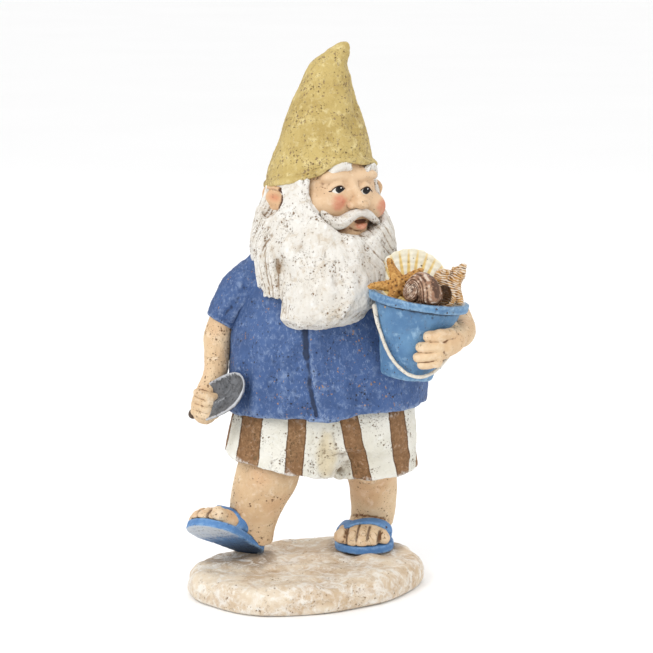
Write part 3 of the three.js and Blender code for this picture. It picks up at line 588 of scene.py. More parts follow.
def bucket_layers(look, colour, dabs):
    dirt = look.step(look.noise(7, 6, 0.72, 0.9, shift=0.66), 0.5, 0.78)
    colour = look.coat(colour, dirt, (112, 118, 118), 0.5)
    chip = look.math("MULTIPLY_ADD", dabs, 0.8, look.mark("chip"))
    return look.coat(colour, look.step(chip, 0.9, 1.15), (226, 222, 210))


def rib_layers(look, colour, dabs):
    yellow = look.ragged(look.mark("rib"), dabs, 0.6)
    return look.coat(colour, look.step(yellow, 0.2, 0.9), (244, 204, 96), 0.8)


def whorl_layers(look, colour, dabs):
    pale = look.ragged(look.mark("crest"), dabs, 0.8)
    return look.coat(colour, look.step(pale, 0.35, 0.9), (234, 220, 204), 0.85)


SAND = painted("sand_paint", (236, 219, 194), (206, 176, 140), (254, 249, 239), (164, 130, 96), sand_layers,
               pit=0.3, pit_size=1.7, pit_colour=(150, 122, 92), fine_pit=0.4, mottle=0.7, brush=0.9,
               wash_and_shade_strength=0.6, grain=1.3)
SANDAL = painted("sandal_paint", (92, 140, 196), (70, 112, 166), (146, 184, 224), (42, 56, 84), sandal_layers,
                 pit=0.2, fine_pit=0.2, rough_low=0.45, rough_high=0.7)
SKIN = painted("skin_paint", (234, 206, 168), (218, 182, 140), (248, 228, 200), (122, 84, 54), skin_layers,
               pit=0.5, pit_size=1.6, pit_colour=(122, 86, 56), fine_pit=0.6, mottle=0.8, brush=0.45,
               wash_and_shade_strength=0.95)
FACE = painted("face_paint", (230, 197, 160), (214, 176, 136), (246, 224, 194), (112, 70, 44), face_layers,
               pit=0.12, pit_size=1.7, fine_pit=0.22, mottle=0.55, brush=0.35, wash_and_shade_strength=0.95, grain=0.6)
EAR = painted("ear_paint", (230, 190, 148), (212, 166, 124), (246, 222, 190), (84, 52, 36), ear_layers,
              pit=0.1, fine_pit=0.2, mottle=0.5, brush=0.3, wash_and_shade_strength=1.0)
SHORTS = painted("shorts_paint", (240, 237, 226), (216, 212, 194), (252, 252, 248), (120, 98, 70),
                 stripe_layers,
                 pit=0.75, pit_size=1.6, pit_colour=(130, 102, 70), fine_pit=0.8, wash_and_shade_strength=0.8, rough_low=0.7,
                 rough_high=0.9, sheen=0.15)
SHIRT = painted("shirt_paint", (74, 102, 152), (56, 82, 130), (150, 170, 204), (36, 48, 74), shirt_layers,
                pit=0.4, pit_size=1.6, pit_colour=(58, 56, 64), fine_pit=0.5, brush=0.7, wash_and_shade_strength=0.9)
HAT = painted("hat_paint", (203, 179, 112), (182, 156, 90), (232, 214, 156), (126, 96, 54), hat_layers,
              pit=0.5, pit_size=1.55, pit_colour=(118, 94, 64), fine_pit=0.6, mottle=0.9, wash_and_shade_strength=0.9)
HAIR = painted("hair_paint", (235, 231, 223), (222, 213, 198), (253, 252, 249), (142, 112, 78), hair_layers,
               pit=1.0, pit_size=1.6, pit_colour=(134, 104, 70), fine_pit=1.0, wash_and_shade_strength=0.9, brush=0.75)
BUCKET = painted("bucket_paint", (102, 146, 186), (78, 118, 160), (156, 190, 218), (50, 62, 78),
                 bucket_layers,
                 pit=0.2, pit_size=2.0, fine_pit=0.25, rough_low=0.4, rough_high=0.65, mottle=0.8,
                 wash_and_shade_strength=0.95)
BAIL = painted("bail_paint", (234, 226, 210), (206, 192, 168), (250, 248, 242), (104, 88, 68),
               pit=0.2, pit_size=1.4, fine_pit=0.3, rough_low=0.4, rough_high=0.65)
WET_SAND = painted("wet_sand_paint", (112, 84, 56), (74, 54, 36), (156, 126, 90), (44, 32, 22),
                   pit=0.4, fine_pit=0.4, grain=2.0)
SCALLOP = painted("scallop_paint", (252, 248, 230), (246, 234, 196), (255, 254, 248), (176, 132, 62),
                  rib_layers,
                  pit=0.06, fine_pit=0.1, rough_low=0.35, rough_high=0.6, wash_and_shade_strength=0.7)
STARFISH = painted("starfish_paint", (186, 132, 66), (140, 92, 42), (222, 174, 102), (84, 52, 24),
                   pit=0.2, pit_size=1.6, fine_pit=0.3, brush=0.8)
SNAIL = painted("snail_paint", (160, 120, 94), (128, 92, 70), (210, 178, 148), (78, 52, 38), whorl_layers,
                pit=0.05, fine_pit=0.1, rough_low=0.4, rough_high=0.65, brush=0.8)
CONCH = painted("conch_paint", (202, 152, 84), (168, 116, 60), (236, 222, 200), (92, 60, 36), whorl_layers,
                pit=0.12, pit_size=1.8, fine_pit=0.15, rough_low=0.4, rough_high=0.7, brush=0.9)
GRIP = painted("grip_paint", (92, 74, 60), (66, 50, 40), (140, 120, 100), (40, 30, 24), pit=0.2, pit_size=1.6)


def worn_metal(name, base, deep, bright, low, high):
    look = Look(name)
    patch = look.noise(4.5, 5, 0.65, 0.6)
    streak = look.noise(1.1, 5, 0.7, place=look.stretch(0.5, 1.0, 0.8))
    dabs = look.noise(2.2, 5, 0.7, 0.6, shift=0.17)
    colour = look.mix(look.step(patch, 0.4, 0.65), rgb(*base), rgb(*deep))
    shine = look.ragged(look.mark("proud"), streak, 1.2)
    rubbed = look.step(shine, 0.05, 0.42)
    colour = look.coat(colour, rubbed, bright, 0.85)
    worn = look.math("MULTIPLY_ADD", dabs, 1.1, look.mark("rim"))
    colour = look.coat(colour, look.step(worn, 1.15, 1.6), bright, 0.9)
    # Darker in the hollows: a dark wash that is partly painted shade.
    dark = look.ragged(look.mark("hollow"), patch, 0.6)
    colour = look.coat(colour, look.step(dark, 0.1, 0.6), (38, 38, 40), 0.8)
    holes = look.pits(1.9, 0.3, 0.34, 0.7)
    colour = look.coat(colour, holes, (34, 33, 34), 0.8)
    relief = look.bump(streak, 0.35)
    relief = look.bump(look.times(holes, -1.0), 0.4, Normal=relief)
    dull = look.math("MULTIPLY_ADD", patch, high - low, low)
    return look.finish(Base_Color=colour, Metallic=0.35, Roughness=dull, Normal=relief)


TROWEL = worn_metal("trowel_metal", (116, 118, 122), (78, 79, 82), (206, 208, 212), 0.35, 0.7)
STEEL = worn_metal("pin_metal", (150, 153, 156), (112, 114, 118), (196, 198, 202), 0.3, 0.6)


# ---- Camera, light and floor -------------------------------------------------------

VIEW_TILT = math.radians(9.5)
VIEW_REACH = 1.5
LENS, SENSOR = 144.07, 36.0
SKY_STRENGTH = 1.04
LAMPS = (("key", (-0.75, -1.1, 1.15), 0.7, 10), ("fill", (1.2, -0.9, 0.6), 1.0, 2),
         ("back", (0.3, 1.3, 1.2), 0.9, 4))
LAMP_AIM = Vector((0.01, 0, 0.15))
FLOOR_RADIUS, FLOOR_SIDES = 12, 96
AIM = Vector((0.01284, 0.0, 0.15478))


def set_stage():
    scene = bpy.context.scene
    data = bpy.data.cameras.new("camera")
    data.lens, data.sensor_width = LENS, SENSOR
    data.clip_end = 50
    camera = bpy.data.objects.new("camera", data)
    camera.location = AIM + Vector((0, -math.cos(VIEW_TILT), math.sin(VIEW_TILT))) * VIEW_REACH
    camera.rotation_euler = (AIM - camera.location).to_track_quat("-Z", "Y").to_euler()
    scene.collection.objects.link(camera)
    scene.camera = camera
    scene.view_settings.view_transform = "Standard"
    world = bpy.data.worlds.new("studio")
    world.use_nodes = True
    world.node_tree.nodes["Background"].inputs["Color"].default_value = (1, 1, 1, 1)
    world.node_tree.nodes["Background"].inputs["Strength"].default_value = SKY_STRENGTH
    scene.world = world
    for name, place, size, power in LAMPS:
        light = bpy.data.lights.new(name, "AREA")
        light.energy, light.size = power, size
        lamp = bpy.data.objects.new(name, light)
        lamp.location = place
        lamp.rotation_euler = (LAMP_AIM - lamp.location).to_track_quat("-Z", "Y").to_euler()
        scene.collection.objects.link(lamp)


def set_floor():
    turns = np.linspace(0, 2 * math.pi, FLOOR_SIDES, endpoint=False)
    ring = [(FLOOR_RADIUS * math.cos(t), FLOOR_RADIUS * math.sin(t), -0.2 * MM) for t in turns]
    mesh = bpy.data.meshes.new("floor")
    mesh.from_pydata(ring, [], [list(range(FLOOR_SIDES))])
    look = Look("floor_paper")
    haze = look.noise(400, 2, 0.5)
    paper = look.mix(haze, (0.92, 0.92, 0.92, 1), (0.95, 0.95, 0.95, 1))
    mesh.materials.append(look.finish(Base_Color=paper, Roughness=0.9))
    floor = bpy.data.objects.new("floor", mesh)
    bpy.context.scene.collection.objects.link(floor)


set_stage()
set_floor()

# ---- Base --------------------------------------------------------------------------

BASE_HALF = (72.5, 55.5)
BASE_TURN = math.radians(40)
BASE_CENTRE = (2.2, 2.5)
BASE_TOP = 17.6
LEFT_HEEL, LEFT_HEADING = (41.5, 57.0, 17.9), -101
RIGHT_HEEL, RIGHT_HEADING = (-27.5, 12.0, 16.9), -145


def foot_place(heel, heading, lift, roll):
    return Place(heel, turn_about("z", heading) @ turn_about("y", -lift) @ turn_about("x", roll))


LEFT_FOOT = foot_place(LEFT_HEEL, LEFT_HEADING, 0, 0)
RIGHT_FOOT = foot_place(RIGHT_HEEL, RIGHT_HEADING, 28, 16)


def make_base():
    clay = Clay((-76, -72, -1.5), (82, 74, 25), 0.85)
    c, s = math.cos(BASE_TURN), math.sin(BASE_TURN)

    def mound(x, y, z):
        dx, dy = x - BASE_CENTRE[0], y - BASE_CENTRE[1]
        u, w = c * dx + s * dy, -s * dx + c * dy
        around = np.arctan2(w, u)
        wobble = 0.8 * np.sin(3 * around + 0.6) + 0.5 * np.sin(5 * around + 2) + 0.35 * np.sin(9 * around + 1)
        out = np.sqrt(u * u + w * w)
        rim = (np.abs(u / BASE_HALF[0]) ** 2.25 + np.abs(w / BASE_HALF[1]) ** 2.25) ** (1 / 2.25)
        wall = out - out / np.maximum(rim, 1e-3) - wobble
        top = BASE_TOP - 0.4 - 2.2 * np.clip(rim, 0, 1.2) ** 4
        top = top + 0.7 * np.sin(u * 0.11 + 1) * np.cos(w * 0.13) + 0.5 * np.sin(u * 0.23 + w * 0.19)
        belly = wall + 0.012 * (z - 8.5) ** 2
        return soft_max(soft_max(belly, z - top, 9.0), -z, 2.5)

    clay.shape(mound, 0)
    for place, spots in ((LEFT_FOOT, [(26, 18, 7), (52, 6, 6), (50, -12, 5), (20, -17, 6)]),
                         (RIGHT_FOOT, [(-3, 4, 7), (2, -9, 6), (10, 10, 6)])):
        for x, y, r in spots:
            spot = place.out((x, y, 0))
            clay.egg((spot[0], spot[1], BASE_TOP - 2.2), (r, r * 0.9, 3.4), soft=4)
    for x, y, rx, ry, deep in ((-6, -30, 22, 12, 2.0), (-38, -22, 14, 9, 1.6), (24, -46, 14, 8, 1.4),
                               (-8, 30, 20, 14, 1.6)):
        clay.egg((x, y, BASE_TOP + 1.2), (rx, ry, deep + 1.0), soft=5, carve=True)
    for foot in (LEFT_FOOT, RIGHT_FOOT):
        clay.shape(lambda x, y, z: sole_gap(foot, x, y, z, 0.15), 0.6, carve=True)
    skin = clay.cast().relax(2)
    up = np.clip((skin.v[:, 2] - 0.6) / 2, 0, 1)
    dunes = rough(skin.v, (22, 22, 12), 3, 3) * 0.9 - np.abs(rough(skin.v, (13, 10, 6), 8, 2)) * 0.7 + 0.3
    grains = rough(skin.v, 2.6, 12, 2) * 0.22
    skin.swell((dunes + grains) * up * (1 - 0.6 * foot_near(skin.v)))
    skin.hollows(4, 0.7)
    # Darker around the feet and in scattered patches on the top.
    skin.mark("feet_and_patches", foot_near(skin.v) * 0.75 + 0.35 * smooth(0.1, 0.6, rough(skin.v, 24, 5, 2))
              * (skin.v[:, 2] > 14))
    show("sand_base", skin, SAND, "base")


HEEL_CENTRE, HEEL_RADIUS, BALL_AHEAD, BALL_EXTRA, HALF_SOLE, SOLE_EDGE = 12.9, 12.8, 20.5, 4.6, 2.4, 0.9


def sole_gap(place, x, y, z, grow=0.0):
    """Distance to a sole: the heel's and ball's circles joined by a taper, extruded, with round edges."""
    u, w, h = place.local(x, y, z)
    t = np.clip((u - HEEL_CENTRE) / BALL_AHEAD, 0, 1)
    radius = HEEL_RADIUS + BALL_EXTRA * t * t * (3 - 2 * t)
    plan = np.sqrt((u - HEEL_CENTRE - BALL_AHEAD * t) ** 2 + w * w) - radius - grow + SOLE_EDGE
    deep = np.abs(h - HALF_SOLE) - HALF_SOLE - grow + SOLE_EDGE
    outer = np.sqrt(np.maximum(plan, 0) ** 2 + np.maximum(deep, 0) ** 2)
    return np.minimum(np.maximum(plan, deep), 0) + outer - SOLE_EDGE


def foot_near(points):
    near = np.zeros(len(points))
    for place in (LEFT_FOOT, RIGHT_FOOT):
        local = place.into(points)
        gap = np.maximum(np.hypot((local[:, 0] - 22) / 34, local[:, 1] / 25), np.abs(local[:, 2]) / 16)
        near = np.maximum(near, 1 - smooth(0.7, 1.25, gap))
    return near


def make_sole(name, place, node):
    clay = Clay(*place.box((-2, 53), (-20, 20), (-2, 7)), 0.5)
    clay.shape(lambda x, y, z: sole_gap(place, x, y, z), 0)

    def tread(x, y, z):
        u, w, h = place.local(x, y, z)
        groove = np.abs(((u + 0.12 * w * np.sin(u * 0.2)) % 5.5) - 2.75) - 0.28
        inside = np.sqrt(((u - 26) / 23) ** 2 + (w / 14.5) ** 2) * 10 - 10
        return np.maximum(np.maximum(groove, inside), h - 0.35)

    clay.shape(tread, 0.3, carve=True)
    skin = clay.skin(1, ((6, 21, 3, 0.18), (1.6, 22, 2, 0.07)), 3, 2.0)
    local = place.into(skin.v)
    facing = skin.normals() @ place.turn[:, 2]
    below = smooth(0.3, 0.8, -facing)
    skin.mark("underside", below * smooth(0, 1, local[:, 0] / 44) * 1.15)
    # Painted shade under the heel and along the sole's lower edge.
    skin.mark("contact_shade", below * (1 - smooth(0, 1, local[:, 0] / 46)) + 0.6 * smooth(1.6, 0.2, local[:, 2])
              * (1 - below))
    show(name, skin, SANDAL, node)


# ---- Legs and feet -----------------------------------------------------------------

# Each toe: distance from the foot's middle line, radius, reach from the heel.
TOES = [(12.0, 4.3, 48.0), (4.9, 3.4, 48.8), (-1.4, 3.3, 48.2), (-7.6, 3.2, 46.8), (-13.4, 3.2, 44.2)]
TREAD_TOP = 5.0
FOOT_TOP = 16


def shape_foot(clay, place, big, grow, soft, toes=True):
    """Heel, bridge and toes. Big is 1 or -1: the side that the big toe is on."""
    rows = [(6.5, 0, 13, 8.5), (10, 0, 14, 10), (16, 0, 13, 10)]
    clay.rod(place.rows([(x, y, z, r + grow) for x, y, z, r in rows]), soft)
    up = place.turn[:, 2]
    bridge = [(10, 0, 11.5, 10.5), (20, 0, 10.6, 11.8), (28, big * 0.4, 9.2, 13.4),
              (35, big * 0.6, 7.6, 14.0), (38.5, big * 0.4, 6.9, 12.6)]
    clay.rod(place.rows([(x, y, z, r + grow) for x, y, z, r in bridge]), soft, thin=up, flat=0.56)
    if toes:
        for side, radius, reach in TOES:
            knuckle = (37, big * side * 0.9, TREAD_TOP + radius + 1.3, radius * 0.86 + grow)
            middle = (reach - radius - 3.2, big * side * 0.98, TREAD_TOP + radius + 0.3, radius * 0.84 + grow)
            tip = (reach - radius, big * side, TREAD_TOP + radius - 0.2, radius + grow)
            clay.rod(place.rows([(32, big * side * 0.8, TREAD_TOP + radius + 1, radius + grow), knuckle,
                                 middle, tip]), 0.7)


def nails(skin, place, big):
    """Positive on each toenail, falling to its edge at 0."""
    local = place.into(skin.v)
    best = np.full(len(skin.v), -1.0)
    for side, radius, reach in TOES:
        u = (local[:, 0] - (reach - radius * 0.55)) / (radius * 0.62)
        w = (local[:, 1] - big * side) / (radius * 0.6)
        h = local[:, 2] - (TREAD_TOP + radius)
        best = np.maximum(best, np.where(h > 0, 1 - np.sqrt(u * u + w * w), -1) * radius * 0.35)
    return best


def make_leg(name, rows, place, big, node, knee):
    foot_low, foot_high = place.box((-3, 52), (-20, 20), (2, 26))
    centres, halves = np.array(rows)[:, 1:3], np.array(rows)[:, 3:]
    clay = Clay(np.minimum(foot_low, [*((centres - halves).min(0) - 3), 20]),
                np.maximum(foot_high, [*((centres + halves).max(0) + 3), 89]), 0.55)
    clay.column(rows, soft=0, cap=2)
    shape_foot(clay, place, big, 0.0, 4.0)
    for bump in knee:
        clay.egg(bump[:3], bump[3:], soft=5)
    clay.shape(lambda x, y, z: sole_gap(place, x, y, z, 0.25), 0.3, carve=True)
    skin = clay.cast().relax(2)
    skin.swell(rough(skin.v, (9, 9, 13), 31, 3) * 0.42 + rough(skin.v, 2.2, 33, 2) * 0.1)
    nail = nails(skin, place, big)
    skin.swell(0.22 * smooth(-0.1, 0.4, nail) - 0.25 * np.exp(-((nail + 0.12) / 0.3) ** 2) * (nail > -0.9))
    skin.hollows(4, 1.8)
    skin.mark("nail", nail)
    local = place.into(skin.v)
    cleft = np.zeros(len(skin.v))
    for (side, radius, reach), (other, size, far) in zip(TOES, TOES[1:]):
        mid = big * (side * size + other * radius) / (radius + size)
        end = min(reach, far)
        stretch = smooth(36, 39.5, local[:, 0]) * smooth(end + 3.5, end + 2, local[:, 0])
        cleft = np.maximum(cleft, np.exp(-((local[:, 1] - mid) / 0.75) ** 2) * stretch)
    cleft *= local[:, 2] < FOOT_TOP
    skin.swell(-0.7 * cleft)
    # The clefts between the toes are painted dark: painted shade.
    skin.mark("cleft", cleft * (local[:, 2] > TREAD_TOP - 2))
    show(name, skin, SKIN, node)


def make_strap(name, place, big, side_start, node):
    """The shell between two grown feet, kept along two lines from the toe post to the sides of the sole."""
    low, high = place.box((10, 46), (-19, 19), (3, 24))
    over, under = Clay(low, high, 0.42), Clay(low, high, 0.42)
    shape_foot(over, place, big, 2.8, 3.5, toes=False)
    shape_foot(under, place, big, 0.1, 3.5, toes=False)
    band = np.maximum(over.field, -under.field)
    u, w, h = place.local(*over.window(low - 1, high + 1)[1])
    post = big * 7.6
    gap = np.full(band.shape, FAR, np.float32)
    for way in (-1, 1):
        a, b = np.array([38.0, post]), np.array([side_start, way * 17.5])
        along = b - a
        t = np.clip(((u - a[0]) * along[0] + (w - a[1]) * along[1]) / (along @ along), -0.05, 1.6)
        gap = np.minimum(gap, np.hypot(u - a[0] - t * along[0], w - a[1] - t * along[1]) - (3.0 + 1.3 * t))
    over.field[...] = soft_max(soft_max(band, gap, 1.2), TREAD_TOP - 0.2 - h, 0.3)
    over.rod(place.rows([(39.5, post, TREAD_TOP - 0.1, 1.5), (38.8, post, TREAD_TOP + 7.5, 1.9)]), 1.2)
    skin = over.cast().relax(1)
    skin.swell(rough(skin.v, 4, 41, 3) * 0.14)
    skin.hollows(3, 2.0)
    local = place.into(skin.v)
    skin.mark("underside", np.zeros(len(skin.v)))
    # Painted shade where the strap meets the footbed.
    skin.mark("contact_shade", 0.5 * smooth(8, TREAD_TOP, local[:, 2]))
    show(name, skin, SANDAL, node)


RIGHT_LEG = [(25, -28.5, 9, 10, 11), (36, -30, 7, 13, 13.5), (48, -27.5, 4.5, 16, 16),
             (60, -23.5, 2.5, 18.5, 18),
             (72, -20, 2.5, 19, 18.5), (87, -16, 4, 19, 18.5)]
LEFT_LEG = [(27, 41, 45.5, 11, 11.5), (35, 41, 43, 13, 13), (48, 40.8, 37.5, 13.8, 14.5),
            (62, 39.5, 31.5, 15, 16),
            (74, 38, 27, 16, 16.5), (87, 36.5, 23.5, 16.5, 17)]

make_base()
make_sole("right_flipflop", RIGHT_FOOT, "right_sandal_sole")
make_sole("left_flipflop", LEFT_FOOT, "left_sandal_sole")
make_leg("right_leg_skin", RIGHT_LEG, RIGHT_FOOT, 1, "right_leg", [(-22, -13, 70, 9, 6, 9)])
make_leg("left_leg_skin", LEFT_LEG, LEFT_FOOT, -1, "left_leg", [(38, 14, 68, 8, 6, 9)])
make_strap("right_thong_strap", RIGHT_FOOT, 1, 17.0, "right_sandal_strap")
make_strap("left_thong_strap", LEFT_FOOT, -1, 28.0, "left_sandal_strap")

# ---- Shorts ------------------------------------------------------------------------

RIGHT_SHORT = [(74.5, -14, 3, 32.5, 29), (82, -13, 4, 31.8, 28.5), (94, -8, 7, 33.5, 30),
               (106, -2, 9, 36, 31)]
LEFT_SHORT = [(67.5, 40, 19, 26.8, 27), (75, 40, 18, 25.8, 27), (90, 36, 13, 27.5, 29), (106, 28, 11, 34, 31)]
LEGS_OF_SHORTS = ((RIGHT_SHORT, (-0.22, 0.02)), (LEFT_SHORT, (0.07, 0.05)))
# Each front stripe: its middle at the waist and at the hem, and its half width.
STRIPES = ((-28.8, -33.4, 6.0), (-3.6, -6.0, 5.6), (24.9, 32.4, 5.6), (52.4, 57.3, 4.8))
WAIST = [(84, 10, 10, 53.5, 31), (96, 10.5, 9.5, 53, 33), (108, 11.5, 9.5, 51, 34), (115, 12, 9.5, 47, 31)]


def make_shorts():
    clay = Clay((-58, -38, 60), (76, 52, 117), 0.7)
    clay.column(WAIST, soft=0, cap=4)
    for rows, rise in LEGS_OF_SHORTS:
        clay.column(rows, soft=5, rise=rise, cap=1.2)
    clay.rod([(9, -30, 64, 2.5), (10.5, -29, 80, 2.2), (12, -28, 92, 1.0)], soft=5, carve=True)
    clay.rod([(12, 43, 64, 3), (12, 44, 80, 2.5), (12, 45, 92, 1.0)], soft=5, carve=True)
    for rows, rise in LEGS_OF_SHORTS:
        z, x, y, a, b = rows[0]
        clay.column([(z - 6, x, y, a - 2.6, b - 2.6), (z + 5, x, y, a - 4.2, b - 4.2)], soft=1.2, rise=rise,
                    carve=True, cap=2)
    clay.egg((11.5, -7, 80), (12, 9.5, 8.5), soft=6)
    for crease in (((10.5, -24.5, 104, 0.5), (11, -23.8, 95, 1.0), (11.8, -20.5, 85, 1.2),
                    (12.2, -18.2, 77, 1.3), (12.4, -16, 70, 1.2)),
                   ((16.5, -23.5, 97, 0.3), (18.5, -21.4, 88, 0.6), (20.5, -18, 79, 0.5)),
                   ((5.5, -24, 97, 0.3), (4, -23.8, 89, 0.7), (1.5, -23.6, 80, 0.6)),
                   ((-20, -22.5, 99, 0.3), (-24, -22, 90, 0.6), (-28, -21, 82, 0.4)),
                   ((38, -15, 99, 0.3), (42, -12, 88, 0.6), (45, -8, 79, 0.4))):
        clay.rod(crease, soft=2.6, carve=True)
    skin = clay.skin(2, (((10, 14, 26), 51, 2, 0.9), (3.2, 52, 3, 0.2), (1.3, 53, 1, 0.07)), 4, 0.9)
    p = skin.plain
    px, py, pz = p.T
    t = np.clip((108 - pz) / 36, -0.3, 1.3)
    gap = np.full(len(p), -50.0)
    sway = rough(p, 9, 55, 2) * 0.5
    for top, bottom, half in STRIPES:
        gap = np.maximum(gap, half - np.abs(px + sway - (top + (bottom - top) * t)))
    side = np.where(px < 10, 5, 11)
    flank = 5.0 - np.abs(py + sway - side)
    outer = (px < -38.5) | (px > 65)
    gap = np.where(outer, flank, np.where(np.abs(py - 9) > 7, gap, -3))
    skin.mark("stripe", gap)
    crotch = np.hypot((px - 13 + 0.7 * rough(p, 5, 58, 2)) / 8.5, (pz - 82) / 20)
    skin.mark("straw", (1 - smooth(0.3, 1.1, crotch)) * 0.9 + 0.25 * smooth(0.1, 0.7, rough(p, 12, 57, 2)))
    show("shorts_cloth_skin", skin, SHORTS, "shorts")


# ---- Shirt and sleeves -------------------------------------------------------------

SHIRT_HANG = [(108, 13, 8.5, 57.7, 42), (115, 13.5, 8.5, 58.2, 42), (127, 13.5, 8.5, 57.5, 41),
              (141, 12.6, 9, 56.3, 40.5),
              (155, 11.9, 9.5, 54.4, 38.5), (170, 12.3, 10, 50, 35), (182, 12.5, 10.5, 45.5, 31),
              (191, 13, 10.5, 38, 27),
              (198, 13, 10, 28, 22), (203, 13, 9, 19, 17)]
# The front opening, from the hem up.
SHIRT_EDGE = [(8.0, -34.4, 110), (4.8, -33.6, 124), (2.6, -31.6, 142), (1.4, -29.4, 157), (0.6, -27.3, 170)]
BUCKET_FRAME = Place((57.5, -40, 133), turn_about("y", 9))
BUCKET_TALL, BUCKET_RIM_RADIUS, CONE_SLOPE = 46, 28.2, 0.97


def cone(x, y, z, foot, spread):
    """Distance to a cone about the bucket's axis, with the radius from the axis and the height up it."""
    u, w, h = BUCKET_FRAME.local(x, y, z)
    r = np.sqrt(u * u + w * w)
    return (r - (foot + spread * h / BUCKET_TALL)) * CONE_SLOPE, r, h


def pail_gap(x, y, z, grow=0.0):
    body, r, h = cone(x, y, z, 14, 10 / 41 * BUCKET_TALL)
    band = soft_max(r - BUCKET_RIM_RADIUS + (BUCKET_TALL - h) * 0.1, 41.4 - h, 1.0)
    gap = soft_min(soft_max(body, h - 43, 1.0), band, 1.2)
    return soft_max(soft_max(gap, -h, 2.0), h - BUCKET_TALL, 1.2) - grow


def make_shirt():
    clay = Clay((-49, -37, 100), (75, 55, 207), 0.9)
    clay.column(SHIRT_HANG, soft=0, rise=(0.045, 0.01), square=2.2, cap=1.6)
    for fold in (((-26, -22, 112, 2.4), (-25, -21, 128, 2.6), (-20, -20, 150, 1.6)),
                 ((-12, -29, 112, 2.2), (-11, -28, 130, 2.4), (-8, -25, 150, 1.5)),
                 ((24, -32, 111, 2.2), (23, -31, 124, 2.4), (22, -28, 134, 1.6)),
                 ((-38, -12, 112, 2.4), (-36, -11, 128, 2.4), (-32, -10, 150, 1.6)),
                 ((66, 6, 112, 2.4), (66, 6, 130, 2.6), (62, 6, 150, 1.6)),
                 ((58, 30, 112, 2.6), (57, 30, 130, 2.6), (52, 28, 160, 1.6)),
                 ((30, 46, 112, 2.6), (29, 45, 135, 2.6), (26, 42, 165, 1.6)),
                 ((0, 47, 112, 2.6), (1, 46, 135, 2.6), (4, 42, 165, 1.6)),
                 ((-30, 34, 112, 2.6), (-29, 33, 135, 2.6), (-24, 30, 165, 1.6))):
        clay.rod(fold, soft=7)
    edge = smooth_path([(*point, 1) for point in SHIRT_EDGE], 6)

    def flap(x, y, z):
        line = np.interp(z, edge[:, 2], edge[:, 0])
        over = np.interp(z, edge[:, 2], edge[:, 1]) - 1.3 + 0.035 * (x - line)
        corner = x - line + np.maximum(115 - z, 0) * 0.7
        plate = soft_max(over - y, y - over - 5, 0.6)
        return soft_max(soft_max(plate, -corner, 1.2), x - line - 13 + 0.8 * np.maximum(z - 140, 0) * 0.1, 8)

    clay.shape(flap, 2.5, within=((0, -40, 106), (30, -20, 166)))
    clay.rod([(x - 1.2, y - 1.0, z, 2.1) for x, y, z in SHIRT_EDGE], soft=0.6, carve=True)
    z, x, y, a, b = SHIRT_HANG[0]
    clay.column([(z - 8, x, y, a - 3, b - 3), (z + 4, x, y, a - 5, b - 5)], soft=1.5, rise=(0.045, 0.01),
                square=2.2, carve=True, cap=3)
    clay.shape(lambda x, y, z: pail_gap(x, y, z, 0.35), 0.8, carve=True)
    skin = clay.skin(2, (((15, 15, 44), 61, 2, 0.8), (3.4, 62, 3, 0.2), (1.6, 63, 1, 0.08)), 4, 0.8)
    p = skin.plain
    px, py, pz = p.T
    # A dark line down the placket, where the flap laps over: painted shade in the groove.
    line = np.interp(pz, edge[:, 2], edge[:, 0])
    groove = np.exp(-((px - line + 1.1) / 1.4) ** 2) * (py < 0)
    skin.marks["hollow"] += (0.28 + 0.5 * rough(p, 6, 66, 2)) * groove
    show("shirt_cloth_skin", skin, SHIRT, "shirt")


def make_sleeve(name, rows, node, folds, seed):
    box = np.array(rows)[:, :3]
    clay = Clay(box.min(0) - 19, box.max(0) + 19, 0.5)
    clay.rod(rows, soft=0)
    for fold in folds:
        clay.rod(fold, soft=3.5)
    end, before = np.array(rows[-1][:3]), np.array(rows[-2][:3])
    along = (end - before) / np.linalg.norm(end - before)

    def beyond(x, y, z):
        return -((x - end[0]) * along[0] + (y - end[1]) * along[1] + (z - end[2]) * along[2])

    clay.shape(beyond, 1.4, carve=True)
    mouth = rows[-1][3] - 2.2
    clay.rod([(*(end - along * 4.5), mouth - 1.2), (*(end + along * 6), mouth + 0.4)], soft=1.0, carve=True,
             curve=False)
    skin = clay.skin(2, (((7, 7, 12), seed, 3, 0.55), (2.6, seed + 1, 3, 0.16)), 4, 1.5)
    show(name, skin, SHIRT, node)


# ---- Arms and hands ----------------------------------------------------------------


